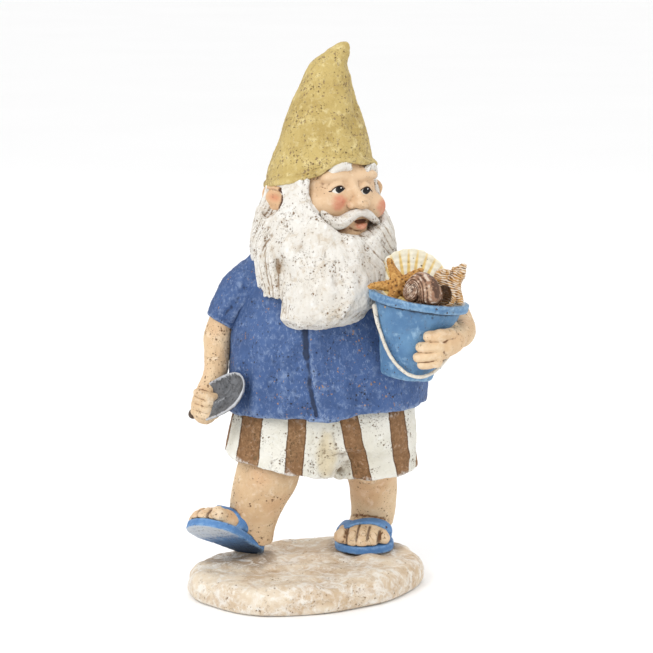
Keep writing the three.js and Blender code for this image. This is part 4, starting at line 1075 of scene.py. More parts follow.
def make_right_arm():
    clay = Clay((-70, -16, 96), (-32, 20, 178), 0.42)
    clay.rod([(-42, 8.5, 168, 6.2), (-46.5, 7.5, 160, 7.3), (-49.3, 6, 150, 7.7), (-50.2, 4.5, 139, 7.5),
              (-51, 3, 129, 6.8), (-54, 1.5, 120, 6)], soft=0)
    clay.egg((-50.5, 7.5, 147), (7.2, 7.2, 10), soft=3)
    clay.rod([(-55.5, 0.5, 116, 7), (-57.2, -0.5, 109, 8.0), (-57, -1, 105, 7.2)], soft=3)
    for i, z in enumerate((104.2, 107.8, 111.4, 115)):
        r = (2.5, 2.7, 2.8, 2.7)[i]
        clay.rod([(-63 + 0.6 * i, -2.5, z + 1.5, r), (-59.5 + 0.6 * i, -7.2, z + 0.8, r + 0.1),
                  (-55 + 0.7 * i, -8.6, z, r), (-51 + 0.7 * i, -5, z - 0.2, r - 0.3)], soft=0.5)
    clay.rod([(-55, 3.5, 119, 3.4), (-51.4, -0.5, 117, 3.2), (-49.6, -4.5, 113.8, 2.9),
              (-50.5, -7.2, 110.6, 2.6)], soft=1.0)
    clay.rod([(-53.5, -5.5, 124, 0.6), (-50, -5.2, 123, 0.6)], soft=1.4, carve=True)
    skin = clay.skin(1, (((6, 6, 10), 71, 3, 0.35), (2, 72, 2, 0.09)), 4, 1.8)
    p = skin.plain
    px, py, pz = p.T
    nail = 1.1 - np.sqrt(((px + 50.2) / 1.0) ** 2 + ((py + 9.4) / 1.4) ** 2 + ((pz - 111) / 1.5) ** 2)
    skin.mark("nail", nail)
    show("right_arm_skin", skin, SKIN, "right_arm")


def make_left_arm():
    clay = Clay((50, -74, 134), (101, 20, 188), 0.45)
    clay.rod([(62, 8, 177, 7.5), (72, 5.5, 172.5, 8.6), (81.5, 0, 165.5, 9.6), (87, -10, 158, 9.8),
              (88.5, -24, 156, 8.6), (87, -38, 157, 7)], soft=0)
    clay.egg((85, -8, 160), (9.5, 10, 10), soft=3)
    clay.rod([(86, -42, 157, 6.8), (82.5, -51, 155.5, 7.4), (77.5, -57, 153.5, 7.2)], soft=3,
             thin=np.array([0.5, 0.86, 0]) / 0.995, flat=0.86)
    tips = []
    for i, (z, tip, r) in enumerate(((159.6, 69.2, 3.2), (153.4, 65.0, 3.1), (148, 63.2, 2.9),
                                     (143.8, 65.2, 2.5))):
        clay.rod([(81 - 0.72 * i * i, -57, z + 0.7 * i, r + 0.5),
                  (75.5 - 0.6 * i, -61.6, z + 0.3 + 0.3 * i, r + 0.45), (tip + 4, -62.2, z, r),
                  (tip, -61, z - 0.3, r - 0.1)], soft=0.35)
        clay.egg((75.8 - 0.6 * i, -62.6, z + 0.4 + 0.3 * i), (2.6, 2.4, r + 0.3), soft=1.2)
        tips.append((tip - 0.4, -63.6, z, r))
    clay.rod([(83, -46, 163, 3.2), (76.5, -47.5, 163.6, 3.2), (71, -49, 162.6, 2.8)], soft=1.5)
    skin = clay.cast().relax(1)
    p = skin.v
    px, py, pz = p.T
    skin.swell(rough(p, (9, 9, 6), 74, 3) * 0.35 + rough(p, 2, 75, 2) * 0.09)
    nail = np.full(len(p), -1.0)
    for x, y, z, r in tips:
        nail = np.maximum(nail, 1.0 - np.sqrt(((px - x) / 2.1) ** 2 + ((py - y) / 2.2) ** 2
                                              + ((pz - z) / (r * 0.62)) ** 2))
    skin.swell(0.2 * smooth(-0.1, 0.3, nail))
    skin.hollows(4, 1.8)
    skin.mark("nail", nail)
    show("left_arm_skin", skin, SKIN, "left_arm")


# ---- Trowel ------------------------------------------------------------------------

BLADE_ALONG = unit(0.72, -0.53, 0.44)
BLADE_ACROSS = unit(0, 0.64, 0.77)
BLADE_OPEN = np.cross(BLADE_ALONG, BLADE_ACROSS)
BLADE = Place((-57, -11.5, 113.2), np.stack([BLADE_ALONG, BLADE_ACROSS, BLADE_OPEN], 1))


def make_grip():
    clay = Clay((-70, -13, 98), (-50, 6, 116), 0.35)
    clay.rod([(-63.8, 1.7, 103.6, 2.5), (-61, -0.8, 106, 2.2), (-58, -3.5, 108.5, 2.2), (-55, -8, 112, 2)],
             soft=0)
    clay.egg((-64.2, 2, 103.2), 2.9, soft=0.8)
    skin = clay.skin(1, ((2, 81, 3, 0.12),), 3, 2)
    show("trowel_grip_skin", skin, GRIP, "trowel_handle")


def make_scoop():
    clay = Clay((-66, -42, 96), (-20, 8, 142), 0.4)

    def scoop(x, y, z):
        s, a, o = BLADE.local(x, y, z)
        stations = [-4, 0, 8, 17, 23, 27.5, 30, 31.4]
        wide = np.interp(s, stations, [10, 11.5, 12.2, 11.9, 10.6, 7.8, 4.6, 1.4])
        deep = np.interp(s, stations, [5.8, 6.5, 6.8, 6.3, 5.4, 4.0, 2.4, 0.8])
        ring = np.sqrt((a / wide) ** 2 + (o / deep) ** 2)
        slope = np.sqrt((a / wide ** 2) ** 2 + (o / deep ** 2) ** 2)
        shell = np.abs(ring * (ring - 1) / np.maximum(slope, 1e-4)) * 0.9 - 0.75
        gap = soft_max(shell, o + 0.156 * deep, 0.9)
        return soft_max(soft_max(gap, -s - 0.5, 0.8), s - 31.2, 0.8)

    clay.shape(scoop, 0)
    clay.rod(BLADE.rows([(-3, 0, -4.5, 2.4), (3, 0, -6.2, 2.0), (10, 0, -6.6, 0.9)]), soft=2)
    skin = clay.cast().relax(1)
    skin.swell(rough(skin.v, (5, 5, 4), 83, 3) * 0.16)
    local = BLADE.into(skin.v)
    skin.hollows(3, 1.6)
    rim = (smooth(-2.2, -0.4, local[:, 2]) + smooth(27, 30, local[:, 0])) * (0.35 + 0.65 * smooth(3, -6,
            local[:, 1]))
    skin.mark("rim", np.clip(rim, 0, 1))
    show("trowel_scoop", skin, TROWEL, "trowel_blade")


# ---- Bucket and its load -----------------------------------------------------------


def make_bucket():
    clay = Clay((36, -72, 128), (97, -8, 186), 0.55)
    clay.shape(pail_gap, 0)

    def inside(x, y, z):
        wall, _, h = cone(x, y, z, 12.4, 12.2)
        return soft_max(wall, 3 - h, 2)

    clay.shape(inside, 1.0, carve=True)
    skin = clay.cast().relax(1)
    p = skin.v
    local = BUCKET_FRAME.into(p)
    around = np.arctan2(local[:, 1], local[:, 0])
    skin.swell(rough(p, (14, 14, 11), 91, 3) * 0.45 + rough(p, 2.6, 92, 3) * 0.12)
    skin.hollows(4, 1.8)
    wear = 0.5 * rough(p, 5, 94, 3) + 0.3 * rough(p, 1.8, 95, 2)
    rim = smooth(43.5, 46, local[:, 2])
    inner = np.sum((skin.normals() @ BUCKET_FRAME.turn)[:, :2] * local[:, :2], axis=1) < -4
    skin.mark("chip", rim * 0.3 + np.where(inner & (local[:, 2] > 30), 0.75, 0) + wear * (0.2 + 0.5 * rim)
              + 0.12 * np.sin(3 * around))
    show("bucket_shell_skin", skin, BUCKET, "bucket")


def make_bail():
    clay = Clay((34, -64, 130), (96, -36, 180), 0.32)
    clay.rod([(39.8, -43, 173.4, 1.7), (41.2, -47.5, 165, 1.1), (46, -54.2, 151.5, 1.0),
              (51.5, -56.6, 143, 1.0), (58, -57.2, 137.6, 1.0),
              (65, -56.2, 135.8, 1.0), (72.6, -53.2, 138.2, 1.0), (79.6, -50.6, 145, 1.0),
              (83.6, -46.5, 151.5, 1.0), (84.6, -41.5, 156, 1.0)], soft=0)
    skin = clay.skin(1, (((3, 3, 3), 97, 3, 0.16),), 3, 2)
    show("bail_wire", skin, BAIL, "bucket_bail")


def make_fill():
    clay = Clay((34, -66, 134), (90, -12, 182), 0.7)

    def fill(x, y, z):
        u, w, _ = BUCKET_FRAME.local(x, y, z)
        wall, r, h = cone(x, y, z, 11.9, 11.0)
        crown = 39.4 + 1.4 * (1 - (r / 21) ** 2) + 0.8 * np.sin(u * 0.6) * np.cos(w * 0.5)
        return soft_max(soft_max(wall, 3.4 - h, 2), h - crown, 0.8)

    clay.shape(fill, 0)
    skin = clay.skin(1, ((4, 98, 3, 0.5), (1.6, 99, 2, 0.25)), 3, 1.6)
    show("wet_sand_fill", skin, WET_SAND, "bucket_fill")


FAN_WIDTH, FAN_REACH, FAN_HALF_ANGLE, FAN_RIBS = 0.87, 37.0, 1.12, 13
RIB_RATE = math.pi * FAN_RIBS / FAN_HALF_ANGLE


def make_scallop():
    place = Place((59, -33, 168), turn_about("x", -12.6) @ turn_about("y", 4.6))
    clay = Clay((22, -52, 164), (96, -14, 210), 0.38)

    def fan(x, y, z):
        u, w, h = place.local(x, y, z)
        turn = np.arctan2(u / FAN_WIDTH, h)
        reach = np.sqrt((u / FAN_WIDTH) ** 2 + h * h)
        s = reach / (FAN_REACH * (0.82 + 0.18 * np.cos(turn * 1.4)))
        dish = 6 * np.sin(np.clip(s, 0, 1.2) * math.pi * 0.62) * np.cos(np.clip(turn, -1.4, 1.4) * 1.1)
        ridge = 0.5 + 0.5 * np.cos(turn * RIB_RATE)
        ring = 0.12 * np.sin(reach * 1.9)
        plate = np.abs(w - dish) - (0.55 + 0.75 * ridge * np.clip(s, 0, 1) + ring)
        edge = (s - 1 + 0.008 * (1 - ridge)) * 33
        side = (np.abs(turn) - FAN_HALF_ANGLE) * reach
        return soft_max(soft_max(soft_max(plate * 0.8, edge, 0.8), side, 1.0), 6 - reach, 1.0)

    clay.shape(fan, 0)
    skin = clay.cast().relax(1)
    skin.swell(rough(skin.v, 3, 101, 2) * 0.1)
    local = place.into(skin.v)
    turn = np.arctan2(local[:, 0] / FAN_WIDTH, local[:, 2])
    skin.hollows(2, 1.5)
    reach = np.hypot(local[:, 0] / FAN_WIDTH, local[:, 2]) / 36
    skin.mark("rib", (0.9 - reach) * 2.2 - 0.7 * np.cos(turn * RIB_RATE) + 0.05)
    show("scallop_fan", skin, SCALLOP, "scallop_shell")


def make_starfish():
    centre = np.array((53.2, -47.5, 186))
    tips = [(47.4, -41.5, 199.5), (36.4, -47, 185.2), (46, -54, 175), (60.5, -50, 177), (65.5, -43.5, 194)]
    out = unit(0.1, -0.9, 0.35)
    clay = Clay((32, -62, 169), (71, -36, 203), 0.34)
    for tip in tips:
        tip = np.array(tip)
        half = centre * 0.5 + tip * 0.5
        clay.rod([(*centre, 3.9), (*half, 2.7), (*tip, 1.1)], soft=1.2, thin=out, flat=0.8)
        side = unit(*np.cross(out, tip - centre))
        for k, t in enumerate(np.linspace(0.05, 0.95, 11)):
            spot = centre * (1 - t) + tip * t
            wide = 3.8 * (1 - t) + 1.1 * t
            for way in (-1, 1):
                clay.egg(spot + side * way * wide * 0.93, 0.75, soft=0.5)
                if k % 2 == 0:
                    clay.egg(spot + side * way * wide * 0.42 + out * wide * 0.55, 0.6, soft=0.4)
            clay.egg(spot + out * wide * 0.72, 0.8, soft=0.4)
    skin = clay.skin(1, ((1.9, 105, 3, 0.42),), 3, 3.4)
    show("starfish_body", skin, STARFISH, "starfish")


def make_snail():
    place = Place((64.8, -53, 181), turn_about("z", -14.3))
    axis = unit(-0.53, -0.80, 0.28)
    right = unit(*np.cross((0, 0, 1), axis))
    up = np.cross(axis, right)
    apex = np.array((-4.9, -9.3, 4.0))
    rows = []
    for turn in np.arange(0, 2 * math.pi * 3.3, 0.3):
        outer = 13.6 * math.exp(-0.185 * turn)
        middle = apex - axis * (0.3 + 0.62 * outer)
        spot = middle + (right * math.cos(turn) + up * math.sin(turn)) * outer * 0.62
        rows.append(place.out(spot, outer * 0.39))
    clay = Clay((48, -70, 164), (84, -38, 198), 0.34)
    clay.egg(place.out((2.0, 0.5, 0.6)), (10.2, 8.3, 8.8), turn=place.turn.T, soft=0)
    for i in range(len(rows) - 1):
        clay.rod(rows[i:i + 2], soft=0.3 if i > 5 else 3.0, curve=False)
    skin = clay.cast().relax(1)
    local = place.into(skin.v) - apex
    around = np.arctan2(local @ up, local @ right)
    out = np.hypot(local @ up, local @ right)
    lines = 0.7 * np.sin(28 * np.log(np.maximum(out, 0.8)) + around * 2)
    lines = lines + 0.6 * rough(skin.v, (1.4, 1.4, 1.0), 109, 2)
    skin.swell(0.15 * lines + rough(skin.v, 1.6, 107, 2) * 0.16)
    skin.hollows(3, 2.0)
    skin.marks["hollow"] += 0.75 * np.clip(-lines, 0, 1)
    skin.mark("crest", 0.2 + 0.5 * lines + 0.2 * rough(skin.v, 2.4, 108, 2) + 0.3 * smooth(6, 2, out))
    show("snail_whorls", skin, SNAIL, "snail_shell")


def make_conch():
    clay = Clay((66, -61, 166), (95, -34, 203), 0.34)
    clay.egg((78.6, -45.5, 184), (7.8, 7.0, 10.5), soft=0)
    clay.egg((76.8, -48, 190.6), (4.7, 5.0, 4.6), soft=0.5)
    clay.rod([(82, -46.5, 187, 4.8), (85.4, -46.2, 191.6, 4.4)], soft=0.6, curve=False)
    clay.egg((86.6, -45.8, 193.4), (3.6, 3.6, 3.0), soft=0.4)
    clay.egg((88.4, -45.4, 196), (2.2, 2.3, 1.9), soft=0.4)
    for x, y, z, r in ((84, -50.4, 193.4, 1.3), (87.6, -49, 191, 1.3), (83, -49.2, 195.4, 1.1),
                       (88.8, -47.4, 193.6, 1.1), (86.8, -48, 196.6, 0.9), (89.6, -46.4, 197, 0.8),
                       (73.8, -50.6, 193.2, 1.1), (77.6, -51.8, 194.2, 1.1), (80.4, -50.6, 193.6, 1.0),
                       (73.2, -51, 189.6, 1.1)):
        clay.egg((x, y, z), r, soft=1.0)
    clay.rod([(84.2, -49.4, 188.5, 3.2), (84.6, -50.4, 183, 2.9), (86.2, -50.6, 178, 2.6)], soft=1.0)
    clay.rod([(80.6, -52, 187.4, 1.3), (82.9, -53.2, 182, 1.6), (82.2, -53.6, 177.4, 1.7),
              (78, -53, 174.6, 1.6)], soft=1.0)
    clay.egg((78.0, -53.4, 181.4), (3.7, 4.6, 5.4), soft=0.8, carve=True)
    skin = clay.cast().relax(1)
    p = skin.v
    px, py, pz = p.T
    lines = np.sin((pz + 0.3 * px + 0.8 * rough(p, 4, 113, 2)) * 5.0)
    skin.swell(0.2 * lines + rough(p, 1.8, 111, 2) * 0.16)
    skin.hollows(3, 2.0)
    # The shell's opening is darkened as painted shade in the recess.
    throat = np.hypot(np.hypot((px - 78) / 4.1, (py + 53.4) / 5.0), (pz - 181.4) / 5.8)
    skin.marks["hollow"] = np.maximum(skin.marks["hollow"], smooth(1.1, 0.8, throat))
    skin.mark("crest", 0.42 + 0.4 * lines + 0.45 * rough(p, 2.2, 112, 3))
    show("conch_whorls", skin, CONCH, "conch_shell")


make_shorts()
make_shirt()
make_sleeve("right_sleeve_cloth", [(-22, 11, 184, 14), (-35, 10, 176, 12.5), (-42.5, 8.5, 166, 11),
                                   (-48.3, 7, 156, 9.3)], "right_sleeve",
            (((-34, 0, 184, 1.6), (-42, -1, 172, 1.8), (-50, 0, 160, 1.2)),
             ((-24, 1, 182, 1.5), (-34, -2, 170, 1.7), (-42, -1, 160, 1.2)),
             ((-36, 18, 184, 1.6), (-46, 17, 170, 1.8), (-53, 14, 158, 1.2))), 121)
make_sleeve("left_sleeve_cloth", [(46, 11, 184, 13.5), (58, 9, 179, 13), (70, 6, 172.5, 12)], "left_sleeve",
            (((50, 0, 190, 1.6), (60, -3, 186, 1.8), (72, -4, 178, 1.2)),
             ((52, 14, 195, 1.6), (64, 12, 190, 1.8), (76, 9, 182, 1.2)),
             ((50, -2, 180, 1.4), (60, -4, 174, 1.6), (70, -6, 168, 1.2))), 124)
make_right_arm()
make_left_arm()
make_grip()
make_scoop()
make_bucket()
make_bail()
make_fill()
make_scallop()
make_starfish()
make_snail()
make_conch()

# ---- Head --------------------------------------------------------------------------

HEAD = Place((13, 8, 231), turn_about("z", 30))
NEAR_EYE, FAR_EYE = (-8.9, -24.3, 4.9), (8.7, -24.4, 3.3)
EYE_RADIUS = 4.6


def segment_gap(points, route):
    """Distance in the face plane, head x and z only, to a line of points."""
    best = np.full(len(points), 99.0)
    for a, b in zip(route[:-1], route[1:]):
        a, b = np.array(a, float), np.array(b, float)
        along = b - a
        x, z = points[:, 0] - a[0], points[:, 2] - a[1]
        t = np.clip((x * along[0] + z * along[1]) / (along @ along), 0, 1)
        best = np.minimum(best, np.hypot(x - t * along[0], z - t * along[1]))
    return best


def eye_gap(points):
    """Distance in the face plane to the nearer eye's centre."""
    return np.minimum(*(np.hypot(points[:, 0] - x, points[:, 2] - z) for x, _, z in (NEAR_EYE, FAR_EYE)))


def almond(points, centre, half, rise, drop, lean):
    """Signed distance, positive inside, of an eye opening: two arcs that meet at the corners."""
    u = points[:, 0] - centre[0]
    w = points[:, 2] - centre[1] - lean * u
    share = np.clip(1 - (u / half) ** 2, -1, 1)
    inside = np.minimum(rise * share - w, w + drop * share)
    return np.where(np.abs(u) < half + 1, inside, -2)


def make_head():
    clay = Clay((-31, -42, -38), (31, 32, 34), 0.44)
    clay.egg((-1.2, 0, 1), (28, 30, 32), soft=0)
    clay.rod([(0, 1, -38, 13), (0, 1, -18, 18)], soft=6, curve=False)
    clay.egg((0.5, -23, -19), (12, 7, 9), soft=6)
    for side in (-1, 1):
        clay.egg((side * 9.5, -25.6, 12), (8.5, 4.2, 3.6), soft=4)
        clay.egg((side * 14.2 + 1.2, -21.4, -4.4 - side * 1.8), (9.6, 8.8, 8.2), soft=4)
    for (x, y, z), side in ((NEAR_EYE, -1), (FAR_EYE, 1)):
        clay.egg((x, -32.0, z + 0.4), (5.6, 4.6, 4.2), soft=4.5, carve=True)
        clay.egg((x, y + 0.3, z), EYE_RADIUS, soft=1.0)
        clay.rod([(x + side * 5.2, -25.8, z - 0.8, 0.6), (x + side * 3.0, -27.9, z + 2.4, 0.95),
                  (x - side * 0.3, -28.9, z + 3.5, 1.1),
                  (x - side * 2.6, -28.6, z + 2.1, 0.9), (x - side * 4.3, -27.7, z - 0.5, 0.6)], soft=2.2)
        clay.rod([(x + side * 4.4, -26.4, z - 1.2, 0.4), (x + side * 2.2, -27.9, z - 2.4, 0.6),
                  (x - side * 0.6, -28.5, z - 2.8, 0.65),
                  (x - side * 3.0, -28.1, z - 1.9, 0.5)], soft=2.0)
        clay.rod([(x + side * 4.6, -26.6, z - 4.2, 0.8), (x, -28.2, z - 5.4, 1.0),
                  (x - side * 3.4, -28.2, z - 4.2, 0.6)], soft=3.0)
        clay.rod([(x + side * 5.6, -26.2, z + 0.4, 0.25), (x + side * 8.0, -24.4, z + 1.6, 0.15)], soft=0.7,
                 carve=True)
    clay.rod([(0.2, -27.2, 9.5, 2.2), (0.8, -29.8, 5.5, 2.2), (1.8, -33.2, 1.2, 2.6),
              (2.5, -35.6, -1.6, 3.2)], soft=2.4)
    clay.egg((2.6, -36.0, -2.3), (4.2, 4.1, 3.4), soft=1.0)
    clay.egg((1.8, -31.8, -2.8), (4.4, 4.8, 3.6), soft=1.5)
    for side in (-1, 1):
        clay.egg((2.2 + side * 4.6, -31.8, -3.7), (2.2, 2.7, 2.1), soft=0.6)
        clay.egg((2.4 + side * 2.6, -33.8, -6.2), (1.3, 1.8, 1.0), soft=0.6, carve=True)
    clay.egg((5.4, -31.0, -13.6), (4.6, 2.8, 1.2), soft=0.8, carve=True)
    clay.rod([(-1.6, -28.8, -15.6, 0.8), (1.4, -29.9, -16.4, 1.5), (5, -30.2, -16.6, 1.9),
              (9, -28.6, -15.6, 1.0)], soft=0.9)
    skin = clay.cast().relax(1)
    p = skin.v
    px, py, pz = p.T
    front = smooth(-10, -22, py)
    calm = smooth(2.5, 5.5, eye_gap(p))
    skin.swell((rough(p, 6, 131, 3) * 0.28 + rough(p, 1.9, 132, 2) * 0.07) * front * calm)
    skin.hollows(4, 1.8)
    skin.marks["hollow"] *= 0.25 + 0.75 * smooth(4.5, 8.5, eye_gap(p))
    skin.marks["hollow"] *= 1 - 0.8 * np.exp(-((px + 3.5) ** 2 + (pz - 1) ** 2) / 30)
    # Painted shadow under the moustache and the lower lip, laid on through the hollow mark.
    under = np.exp(-((px + 9) / 9) ** 2 - ((pz + 17.5) / 3.2) ** 2) + np.exp(-((px - 14) / 4) ** 2
            - ((pz + 17.5) / 3.5) ** 2)
    skin.marks["hollow"] += 0.42 * under
    blush = np.zeros(len(p))
    for x, z, rx, rz in ((-9.2, -2.2, 7.2, 6.6), (21.5, -6.6, 8.5, 7.0)):
        blush = np.maximum(blush, 1 - smooth(0.25, 1.15, np.hypot((px - x) / rx, (pz - z) / rz)))
    skin.mark("blush", blush * (py < -10) * np.clip(0.82 + 0.3 * rough(p, 3, 133, 3), 0, 1.2))
    eye, iris, lash, glint = (np.full(len(p), -9.0) for _ in range(4))
    for (x, y, z), side, lean in ((NEAR_EYE, -1, 0.10), (FAR_EYE, 1, 0.06)):
        hole = almond(p, (x + side * 0.1, z - 0.05), 4.1, 2.5, 1.75, lean)
        eye = np.maximum(eye, hole)
        round_iris = 2.5 - np.hypot((px - x - 0.9) * 0.92, (pz - z - 0.45) * 1.08)
        iris = np.maximum(iris, np.minimum(round_iris, hole + 0.15))
        lid = [(x + side * t * 4.1, z - 0.05 + lean * side * t * 4.1 + 2.5 * (1 - t * t))
               for t in np.linspace(-0.95, 1.02, 12)]
        lid.append((x + side * 5.4, z - 0.6))
        lash = np.maximum(lash, 0.38 - segment_gap(p, lid))
        glint = np.maximum(glint, 0.42 - np.hypot(px - x - 1.5, pz - z - 1.2))
    ahead = py < -18
    mouth = 1.9 - 1.9 * np.hypot((px - 5.6) / 4.8, (pz + 13.5) / 1.15)
    curl = 0.02 * (px - 5.4) ** 2
    lips = 1.75 - 1.75 * np.hypot((px - 5.4) / 5.0, (pz + 16.3 - curl) / 2.0)
    for name, values in (("eye", eye), ("iris", iris), ("lash", lash), ("glint", glint), ("mouth", mouth),
                         ("lips", lips)):
        skin.mark(name, np.where(ahead, values, -9))
    skin.v = HEAD.carry(p)
    show("face_skin", skin, FACE, "head")


def make_ear(name, side, node):
    """An ear in the head's frame: a dish in a rolled rim. Side is -1 for the gnome's right."""
    clay = Clay((side * 34 - 12, -20, -16), (side * 34 + 12, 24, 14), 0.36)
    s = side
    tilt = turn_about("z", s * 12)
    clay.egg((s * 30.8, 4.0, -1), (3.6, 10.5, 7.2), turn=tilt, soft=0)
    rim = [(s * 31, -6.5, -2.5, 1.1), (s * 32.2, -7.2, 3.4, 1.5), (s * 33.2, -1.5, 6.4, 1.7),
           (s * 33.4, 6, 6.6, 1.7), (s * 33.0, 13.2, 4.2, 1.7),
           (s * 32.6, 15.6, -1, 1.7), (s * 32.2, 12, -6, 1.6), (s * 31.8, 6.6, -8.2, 2.1),
           (s * 31.2, 1.6, -7.6, 1.6), (s * 31.2, -4.2, -4.8, 1.2)]
    clay.rod(rim, soft=1.2)
    clay.egg((s * 36.4, 0.8, -1.0), (4.4, 7.4, 5.0), turn=tilt, soft=2.0, carve=True)
    skin = clay.skin(1, ((4, 135, 3, 0.2),), 3, 1.1)
    p = skin.plain
    dish = np.clip(1 - np.hypot((p[:, 1] - 4) / 8, (p[:, 2] + 0.5) / 5), 0, 1)
    skin.mark("blush", dish + 0.3 * smooth(-4, -9, p[:, 2]))
    # Painted shade along the front of the dish, on the gnome's right ear only.
    skin.marks["hollow"] += (s < 0) * 0.7 * smooth(0, -4.5, p[:, 1] + 0.25 * p[:, 2])
    p[:, 2] = -1 + (p[:, 2] + 1) * 0.84 - 0.6
    p[:, 0] -= s * 1.0
    skin.v = HEAD.carry(p)
    show(name, skin, EAR, node)


def strand_relief(points, across, width, seed):
    """Ridges that run along one coordinate and wander across the other, crisp at the parting lines."""
    wander = np.stack([across / 9, points[:, 2] / 22, 0 * across], 1)
    lines = across + 2.4 * rough(wander, 1.0, seed, 3)
    fine = np.abs(np.sin(math.pi * lines / width + 0.8 * rough(wander, 0.6, seed + 3, 2)))
    wide = np.abs(np.sin(math.pi * (lines + 1.7 * rough(wander, 1.4, seed + 5, 2)) / (width * 3.1)))
    return np.sqrt(fine) - 0.6, np.sqrt(wide) - 0.6


def make_brow(name, route, node, seed):
    box = np.array(route)[:, :3]
    clay = Clay(box.min(0) - 7, box.max(0) + 7, 0.32)
    clay.rod(route, soft=0, thin=np.array((0, 1, 0)), flat=0.72)
    for x, y, z, r in smooth_path(route, 3)[1:-1]:
        clay.rod([(x - 0.5, y - 0.8, z - r * 0.8, 0.65), (x + 0.3, y - 1.7, z, 0.95),
                  (x + 1.4, y - 1.2, z + r * 1.05, 0.5)], soft=0.4)
    skin = clay.skin(1, (((1.4, 2, 3.4), seed, 2, 0.28),), 3, 2)
    p = skin.plain
    skin.v = HEAD.carry(p)
    show(name, skin, HAIR, node)


def make_moustache():
    route = [(-18.4, -26.4, -6.4, 0.9), (-17.4, -27.4, -8.6, 2.1), (-15.8, -28.6, -11.2, 3.0),
             (-12.3, -29.6, -13.4, 3.8), (-7.8, -30.6, -13.0, 3.8), (-3.7, -31.4, -10.6, 3.3),
             (-0.1, -32.4, -8.4, 2.7)]
    other = [(1.4, -32.6, -8.0, 2.6), (4.2, -32.8, -8.0, 2.5), (8.8, -31.8, -9.6, 2.4),
             (13.2, -30.0, -12.6, 2.1), (16.6, -28.2, -14.4, 1.6), (19.6, -25.8, -15.6, 0.7)]
    clay = Clay((-25, -41, -24), (27, -19, -2), 0.34)
    for rows in (route, other):
        clay.rod(rows, soft=0.8)
    for rows in (route, other):
        path = smooth_path(rows)
        for lift, out in ((1.0, -0.6), (0.2, -1.3), (-0.8, -0.9)):
            lock = [(x, y + out * r * 0.5, z + lift * r * 0.52, max(0.5, r * 0.46)) for x, y, z,
                    r in path[::3]]
            clay.rod(lock, soft=0.35)
    skin = clay.cast().relax(1)
    p = skin.v
    middle = np.array([row[:3] for row in smooth_path(route + other, 5)])
    drop = p[:, 2] - np.interp(p[:, 0], middle[:, 0], middle[:, 2])
    skin.swell(0.26 * (np.abs(np.sin(drop * 2.1 + 0.5 * rough(p, (5, 5, 3), 141, 2))) - 0.5) + rough(p,
               (5, 3, 1.5), 142, 2) * 0.12)
    skin.hollows(3, 0.9)
    skin.marks["proud"] += 0.25
    skin.v = HEAD.carry(p)
    show("moustache_hair", skin, HAIR, "moustache")


# ---- Beard, hair and hat -----------------------------------------------------------

MANE = [(160, 7.5, -23, 17, 15), (163.5, 9.5, -21.5, 23.5, 19.5), (169, 12, -16, 26, 27),
        (174, 15.4, -11, 31.6, 33), (183, 16, -3, 36.4, 39.5),
        (193, 14, 3, 38, 41.5), (203, 11.0, 4.5, 40.3, 42.5), (216, 10.2, 6.5, 37.3, 40.5),
        (232, 9.4, 8, 31.6, 35.5), (245, 10.4, 9, 30, 31)]
MANE_DENSE = smooth_path(MANE, 6)
# The beard's casting ends and the back hair's begins here, and the two lap a little.
HAIR_PARTING, PARTING_LAP = 24, 0.3
# Radius of the face opening at each angle about the head's middle: 0 to the viewer's right, 90 up.
WINDOW = [(-205, 22.5), (-180, 26.0), (-167, 25.0), (-154, 23.6), (-140, 23.0), (-127, 22.6), (-110, 21.6),
          (-93, 21.2), (-70, 21.6), (-47, 23.6), (-30, 26),
          (-12, 28.5), (0, 30), (20, 29), (90, 27), (150, 27), (155, 27.5), (168, 26.6), (180, 26.0)]


def mane_spot(azimuth, z, out=0.0):
    """A point on the mane at an azimuth (0 towards the viewer, + to the viewer's right)."""
    cx, cy, a, b = (np.interp(z, MANE_DENSE[:, 0], MANE_DENSE[:, k]) for k in range(1, 5))
    t = math.radians(azimuth)
    return [cx + (a + out) * math.sin(t), cy - (b + out) * math.cos(t), z]


def mane_clay(low, high):
    clay = Clay(low, high, 0.62)
    clay.column(MANE, soft=0, cap=6, cap_top=1)
    return clay


def lock(clay, stops, radius, soft=1.6):
    """A lock of hair laid on the mane through stops of azimuth, height and outward offset."""
    rows = []
    for k, stop in enumerate(stops):
        size = radius * (stop[3] if len(stop) > 3 else 1)
        rows.append((*mane_spot(stop[0], stop[1], stop[2] - radius * 0.72), size))
    clay.rod(rows, soft=soft)


def mane_flow(p):
    """The coordinate across the strands, which sweep out from the middle, and the azimuth in degrees."""
    cx, cy = (np.interp(p[:, 2], MANE_DENSE[:, 0], MANE_DENSE[:, k]) for k in (1, 2))
    around = np.arctan2(p[:, 0] - cx, -(p[:, 1] - cy))
    out = np.hypot(p[:, 0] - cx, p[:, 1] - cy)
    degrees = np.degrees(around)
    upper = smooth(130, 90, np.abs(degrees)) * np.maximum(p[:, 2] - 192, 0)
    sweep = np.clip((degrees - 8) / 26, -1, 1) * upper * 0.85
    sweep = sweep - 0.7 * np.minimum(p[:, 2] - 188, 0) * smooth(60, 40, np.abs(degrees))
    return around * np.maximum(out, 20) + sweep, degrees


